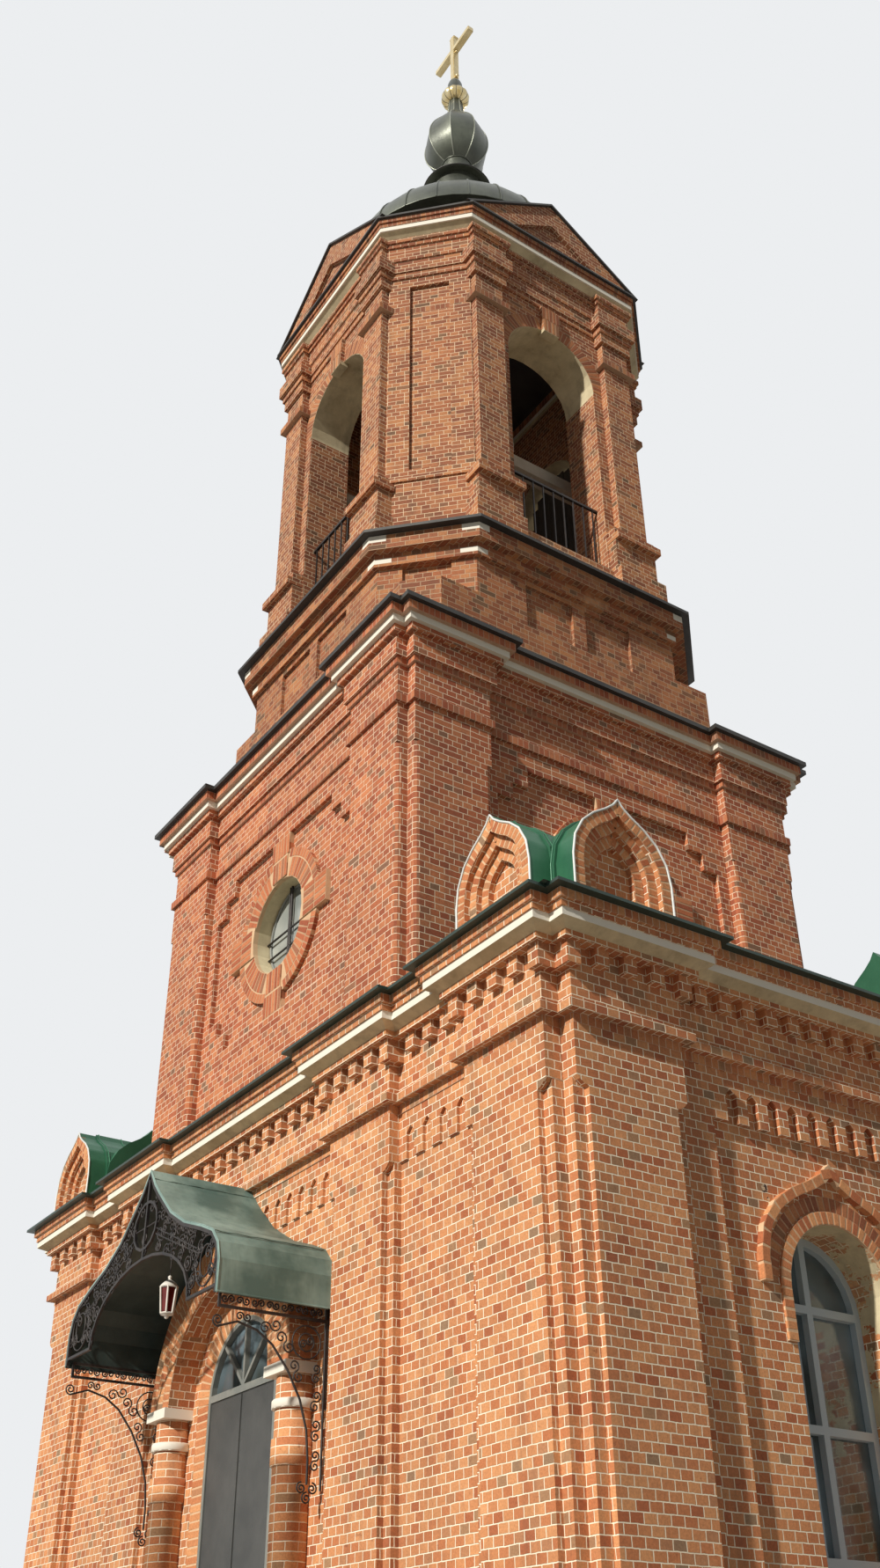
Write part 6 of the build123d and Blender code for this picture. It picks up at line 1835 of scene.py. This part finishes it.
@dataclass
class RoofSeams:
    """Edges and seams of the sheet metal on the gables and the low roofs.

    Attributes:
        sheet_depth: How far the sheets reach back over a gable's flanks.
        seams_back: Where the seams lie behind a gable's face.
        skirt_foot: Reach of the low roofs' eaves to the side and to the front.
        skirt_head: Reach of their upper edges.
    """

    sheet_depth: float = 0.250
    seams_back: Point = (0.28, 0.62)
    edge: float = 0.0115
    seam: float = 0.010
    skirt_foot: Point = (5.844, 3.419)
    skirt_head: Point = (4.695, 3.135)
    skirt_levels: Point = (7.826, 8.014)
    front_step: float = 0.62
    side_step: float = 0.56

    def build(self) -> None:
        """Builds the sheet over the gables and the seams."""
        self.keel_roofs()
        self.skirts()

    def keel_roofs(self) -> None:
        """Sheet over the flanks of each keel gable, its white edge, and seams over the little roofs."""
        edges: list[Line] = []
        seams: list[Line] = []
        outline = GABLES.outline(0.012, 0.014, GABLES.foot + 0.04)
        sheet = GABLES.outline(0.014, 0.018, GABLES.foot)
        over = GABLES.outline(0.043, 0.043, GABLES.foot + 0.19)
        form = bmesh.new()
        for side, plane, off in GABLES.places:
            for s in (-1, 1):
                edges.append(turned(side, at(-plane - 0.004, [(x + s * off, z) for x, z in outline])))
                for back in self.seams_back:
                    seams.append(turned(side, at(-plane + back, [(x + s * off, z) for x, z in over])))
                rows = []
                for x, z in sheet:
                    ends = (-plane - 0.002, -plane + self.sheet_depth)
                    pair = turned(side, [(x + s * off, y, z) for y in ends])
                    rows.append([form.verts.new(place) for place in pair])
                for (a, b), (c, d) in zip(rows, rows[1:]):
                    form.faces.new((a, b, d, c)).smooth = True
        keep(from_form("gable_flank_sheets", form, Finishes.GREEN), "green_metal")
        keep(lay_rods("gable_white_edges", edges, self.edge, Finishes.EDGE, 6), "white_stone")
        keep(lay_rods("gable_roof_seams", seams, self.seam, Finishes.GREEN, 5), "green_metal")

    def skirts(self) -> None:
        """Seams down the lean-to roofs."""
        (low_x, low_y), (high_x, high_y) = self.skirt_foot, self.skirt_head
        foot, head = self.skirt_levels
        lines: list[Line] = []
        for x in [k * self.front_step for k in range(-6, 7)]:
            lines += [[(x, s * low_y, foot), (x, s * high_y, head)] for s in (-1, 1)]
        for y in [k * self.side_step for k in range(-5, 6)]:
            lines += [[(s * low_x, y, foot), (s * high_x, y, head)] for s in (-1, 1)]
        keep(lay_rods("entrance_roof_seams", lines, 0.011, Finishes.GREEN, 5), "green_metal")


@dataclass
class Cross:
    """Gilded bulb of twelve lobes, the grey cone above it and the plain cross.

    The cross has half its widths and depth here, and the rings are radii and levels.
    """

    foot: float = 31.058
    top: float = 32.668
    bar: float = 32.150
    post: float = 0.062
    reach: float = 0.618
    deep: float = 0.066
    lobes: int = 12
    bulb_rings: tuple[Point, ...] = (
        (0.137, 30.225), (0.215, 30.262), (0.262, 30.320), (0.278, 30.390), (0.266, 30.455),
        (0.225, 30.520), (0.165, 30.575),
    )
    rim_rings: tuple[Point, ...] = ((0.152, 30.560), (0.178, 30.582), (0.178, 30.600), (0.152, 30.622))
    cone_rings: tuple[Point, ...] = (
        (0.158, 30.600), (0.166, 30.640), (0.160, 30.700), (0.150, 30.860), (0.120, 30.960),
        (0.066, 31.062),
    )

    def build(self) -> None:
        """Builds the bulb, the cone and the cross."""
        bulb = smooth_rings(self.bulb_rings, 3)
        parts = [
            gored("lobes", bulb, self.lobes, Finishes.GOLD, 0.085, 6),
            # Painted shade: thin dark rods lie in the creases between the gilded lobes.
            lay_rods("grooves", meridians(bulb, self.lobes, -0.001), 0.0065, Finishes.DARK_ROOF, 5),
            turned_form("rim", self.rim_rings, 32, Finishes.GILT),
            turned_form("cone", self.cone_rings, 32, Finishes.DOME),
        ]
        p, top, bar, deep, far = self.post, self.top, self.bar, self.deep, self.reach
        upright = [(-p, self.foot - 0.08), (p, self.foot - 0.08), (p, top - 0.060), (p * 1.5, top - 0.045),
                   (p * 0.8, top - 0.030), (0.0, top - 0.002), (-p * 0.8, top - 0.030),
                   (-p * 1.5, top - 0.045), (-p, top - 0.060)]
        parts.append(slab("post", upright, -deep, deep, Finishes.GILT, 0.008))
        arm = [(-far, bar - p), (far, bar - p), (far, bar + p), (-far, bar + p)]
        parts.append(slab("arm", arm, -deep - 0.001, deep + 0.001, Finishes.GILT, 0.008))
        balls = ((0.085, self.foot + 0.075, 0.042), (0.080, bar - 0.085, 0.026), (0.080, bar + 0.085, 0.026))
        for s in (-1, 1):
            for x, z, r in balls:
                part = r * 0.7
                ball = [(0.004, z - r), (part, z - part), (r, z), (part, z + part), (0.004, z + r)]
                parts.append(turned_form("ball", ball, 16, Finishes.GILT, (s * x, 0.0)))
        keep(joined("gilded_cross", parts), "gilt_metal", "building", "cross")


@dataclass
class Openings:
    """Casements, iron bars and door fittings.

    Attributes:
        casement_faces: Each side with a tall window, and the plane of its frame.
        light_levels: Feet and heads of the three rows of lights.
        light_sides: Their edges to the side.
        sash: Radius of the round sashes.
        leaf: Inner and outer edge, foot and head of a door leaf.
    """

    casement_faces: tuple[tuple[Side, float], ...] = (
        (Side.RIGHT, 4.908), (Side.LEFT, 4.908), (Side.BACK, 2.515),
    )
    light_levels: tuple[Point, ...] = ((2.03, 2.905), (2.995, 3.905), (3.995, 4.895))
    light_sides: tuple[Point, ...] = ((-0.555, -0.050), (0.050, 0.555))
    sash_face: float = -2.690
    sash: float = 0.590
    leaf: tuple[float, float, float, float] = (0.012, 0.684, 0.762, 4.778)
    leaf_face: float = -2.9955
    pull: Point = (0.110, 1.790)

    def build(self) -> None:
        """Builds the parts of windows and doors that the solids leave plain."""
        for side, plane in self.casement_faces:
            self.casement(side, -plane + 0.012)
        for side in Side:
            self.round_sash(side)
            self.round_bars(side)
        for s, name in ((-1, "left"), (1, "right")):
            self.leaf_trim(s, name)

    def casement(self, side: Side, y: float) -> None:
        """Thin casement frames with putty lines behind the main bars of a tall window."""
        spring, sill = PLAN.window_spring, PLAN.window_spring + 0.045
        lines: list[Line] = []
        for low, high in self.light_levels:
            for x0, x1 in self.light_sides:
                box = [(x0, low), (x1, low), (x1, high), (x0, high), (x0, low)]
                lines.append(turned(side, at(y, box)))
        head = arc(0.548, (0.0, spring), 4, 86, 16)
        for s in (-1, 1):
            pane = [(s * x, z) for x, z in head] + [(s * 0.045, sill), (s * 0.547, sill)]
            lines.append(turned(side, at(y, pane)))
        keep(lay_rods(side.label + "_casements", lines, 0.017, Finishes.FRAME, 4), "blue_grey_paint")

    def round_sash(self, side: Side) -> None:
        """Round sash and its pane, well out in the reveal."""
        name, middle, face = side.label, (0.0, PLAN.oculus), self.sash_face
        rings = [turned(side, at(y, arc(self.sash, middle, 0, 360, 40))) for y in (face, face + 0.012)]
        keep(lay_rods(name + "_round_sash", rings, 0.019, Finishes.DOOR_FRAME, 6), "blue_grey_paint")
        pane = bpy.data.meshes.new("pane")
        rim = arc(PLAN.oculus_radius + 0.01, middle, 0, 360, 40)[:-1]
        outline = turned(side, at(face + 0.010, rim))
        pane.from_pydata(outline, [], [tuple(range(len(outline)))])
        if (pane.polygons[0].normal @ Vector(turned(side, [(0.0, -1.0, 0.0)])[0])) < 0:
            pane.flip_normals()
        pane.materials.append(Finishes.ROUND_GLASS.material())
        keep(link(bpy.data.objects.new(name + "_round_pane", pane)), "window_pane")

    def round_bars(self, side: Side) -> None:
        """Dark bars and thin rods before a round window."""
        z, far, front = PLAN.oculus, PLAN.oculus_radius, self.sash_face - 0.035
        bars = []
        for off in (-0.075, -0.035):
            tall = math.sqrt(far * far - off * off)
            bars.append(turned(side, at(front, [(off, z - tall), (off, z + tall)])))
        for up, left, right in ((0.02, -1.0, 1.0), (-0.215, -1.0, 0.25)):
            wide = math.sqrt(far * far - up * up)
            bars.append(turned(side, at(front, [(wide * left, z + up), (wide * right, z + up)])))
        rods = [turned(side, at(front, [(0.19, z - 0.24), (0.19, z + 0.02)]))]
        for turn in (-58, -74, -90, -106, -122):
            c, s = math.cos(math.radians(turn)), math.sin(math.radians(turn))
            ends = [(r * c, z - 0.22 + r * s) for r in (0.10, 0.36)]
            rods.append(turned(side, at(self.sash_face - 0.004, ends)))
        parts = [lay_rods("bars", bars, 0.014, Finishes.IRON, 6),
                 lay_rods("rods", rods, 0.007, Finishes.IRON, 5)]
        keep(joined(side.label + "_oculus_bars", parts), "dark_iron")

    def leaf_trim(self, s: int, name: str) -> None:
        """Folded edge, rivets and pull ring of one sheeted door leaf.

        Args:
            s: -1 for the left leaf, 1 for the right one.
            name: The leaf's side.
        """
        (inner, outer, low, high), face, body = self.leaf, self.leaf_face, name + "_door"
        fold = [(s * inner, low), (s * outer, low), (s * outer, high), (s * inner, high), (s * inner, low)]
        parts = [lay_rods("fold", [at(face, fold)], 0.0035, Finishes.DOOR, 5)]
        studs = [(s * (0.06 + 0.094 * k), z) for z in (0.80, 4.740) for k in range(7)]
        studs += [(s * x, 0.86 + 0.0965 * k) for k in range(41) for x in (0.040, 0.656)]
        form = bmesh.new()
        for x, z in studs:
            spin = Matrix.Translation((x, face + 0.001, z)) @ Matrix.Rotation(math.radians(90), 4, "X")
            bmesh.ops.create_cone(form, cap_ends=True, segments=8, radius1=0.0085, radius2=0.004,
                                  depth=0.006, matrix=spin)
        parts.append(from_form("rivets", form, Finishes.DOOR))
        keep(joined(name + "_leaf_rivets", parts), "door_wood", body)
        x, z = s * self.pull[0], self.pull[1]
        half, low, high = 0.030, z - 0.030, z + 0.110
        sheet = [(x - half, low), (x + half, low), (x + half, high), (x - half, high)]
        plate = slab("plate", sheet, face - 0.003, face + 0.001, Finishes.IRON, 0.001)
        ring = [at(face - 0.0085, arc(0.055, (x, z), 0, 360, 24))]
        pull = lay_rods("pull", ring, 0.0055, Finishes.IRON, 8)
        keep(joined(name + "_leaf_pull", [plate, pull]), "dark_iron", body)


@dataclass
class Bells:
    """Three turned bells with moulded rims, their clappers, and the boards behind them.

    Attributes:
        sizes: Place across and radius of each bell.
        outline: A bell's radii and levels as shares of its radius and height.
        clapper: Radii of a clapper and levels over the bell's foot.
        first: Middle of the first board.
    """

    top: float = 18.910
    sizes: tuple[Point, ...] = ((-0.620, 0.300), (0.0, 0.420), (0.620, 0.300))
    outline: tuple[Point, ...] = (
        (0.90, 0.0), (1.015, 0.004), (1.02, 0.05), (0.93, 0.11), (0.80, 0.20), (0.71, 0.34), (0.655, 0.52),
        (0.66, 0.55), (0.645, 0.58), (0.585, 0.78), (0.56, 0.88), (0.50, 0.95), (0.34, 1.004), (0.12, 1.008),
    )
    clapper: tuple[Point, ...] = (
        (0.012, -0.10), (0.034, -0.075), (0.034, -0.045), (0.012, -0.02), (0.012, 0.05),
    )
    boards: int = 11
    first: float = -0.750
    step: float = 0.150
    board_half: float = 0.072
    boards_foot: float = 16.02
    boards_face: float = 1.985

    def build(self) -> None:
        """Builds the bells over the plain ones, and the boards."""
        parts = []
        for x, r in self.sizes:
            tall = r * 1.5
            foot = self.top - tall
            rings = [(r * out, foot + tall * up) for out, up in self.outline]
            tongue = [(out, foot + up) for out, up in self.clapper]
            parts.append(turned_form(f"bell_{x}", rings, 40, Finishes.BRONZE, (x, 0.0)))
            parts.append(turned_form(f"clapper_{x}", tongue, 16, Finishes.BRONZE, (x, 0.0)))
        keep(joined("turned_bells", parts), "bell_bronze")
        self.weather_boards()

    def weather_boards(self) -> None:
        """Dark upright boards that close the back opening against the weather."""
        reach, half, low = PLAN.belfry_reach, self.board_half, self.boards_foot
        parts = []
        for k in range(self.boards):
            x = self.first + self.step * k
            far = min(abs(x) + half, reach - 0.001)
            top = PLAN.belfry_spring + math.sqrt(reach ** 2 - far ** 2)
            outline = [(x - half, low), (x + half, low), (x + half, top), (x - half, top)]
            near = self.boards_face + 0.006 * (k % 2)
            parts.append(slab("board", outline, near, near + 0.025, Finishes.BOARDS, 0.003))
        keep(joined("back_weather_boards", parts), "dark_metal")


def main() -> None:
    """Builds the scene piece by piece."""
    logging.basicConfig(level=logging.INFO, format="%(message)s")
    Setting().build()
    Solids().build()
    BrickArches().build()
    PortalColumns().build()
    Canopy().build()
    Dome().build()
    RoofSeams().build()
    Cross().build()
    Openings().build()
    Bells().build()


if __name__ == "__main__":
    main()
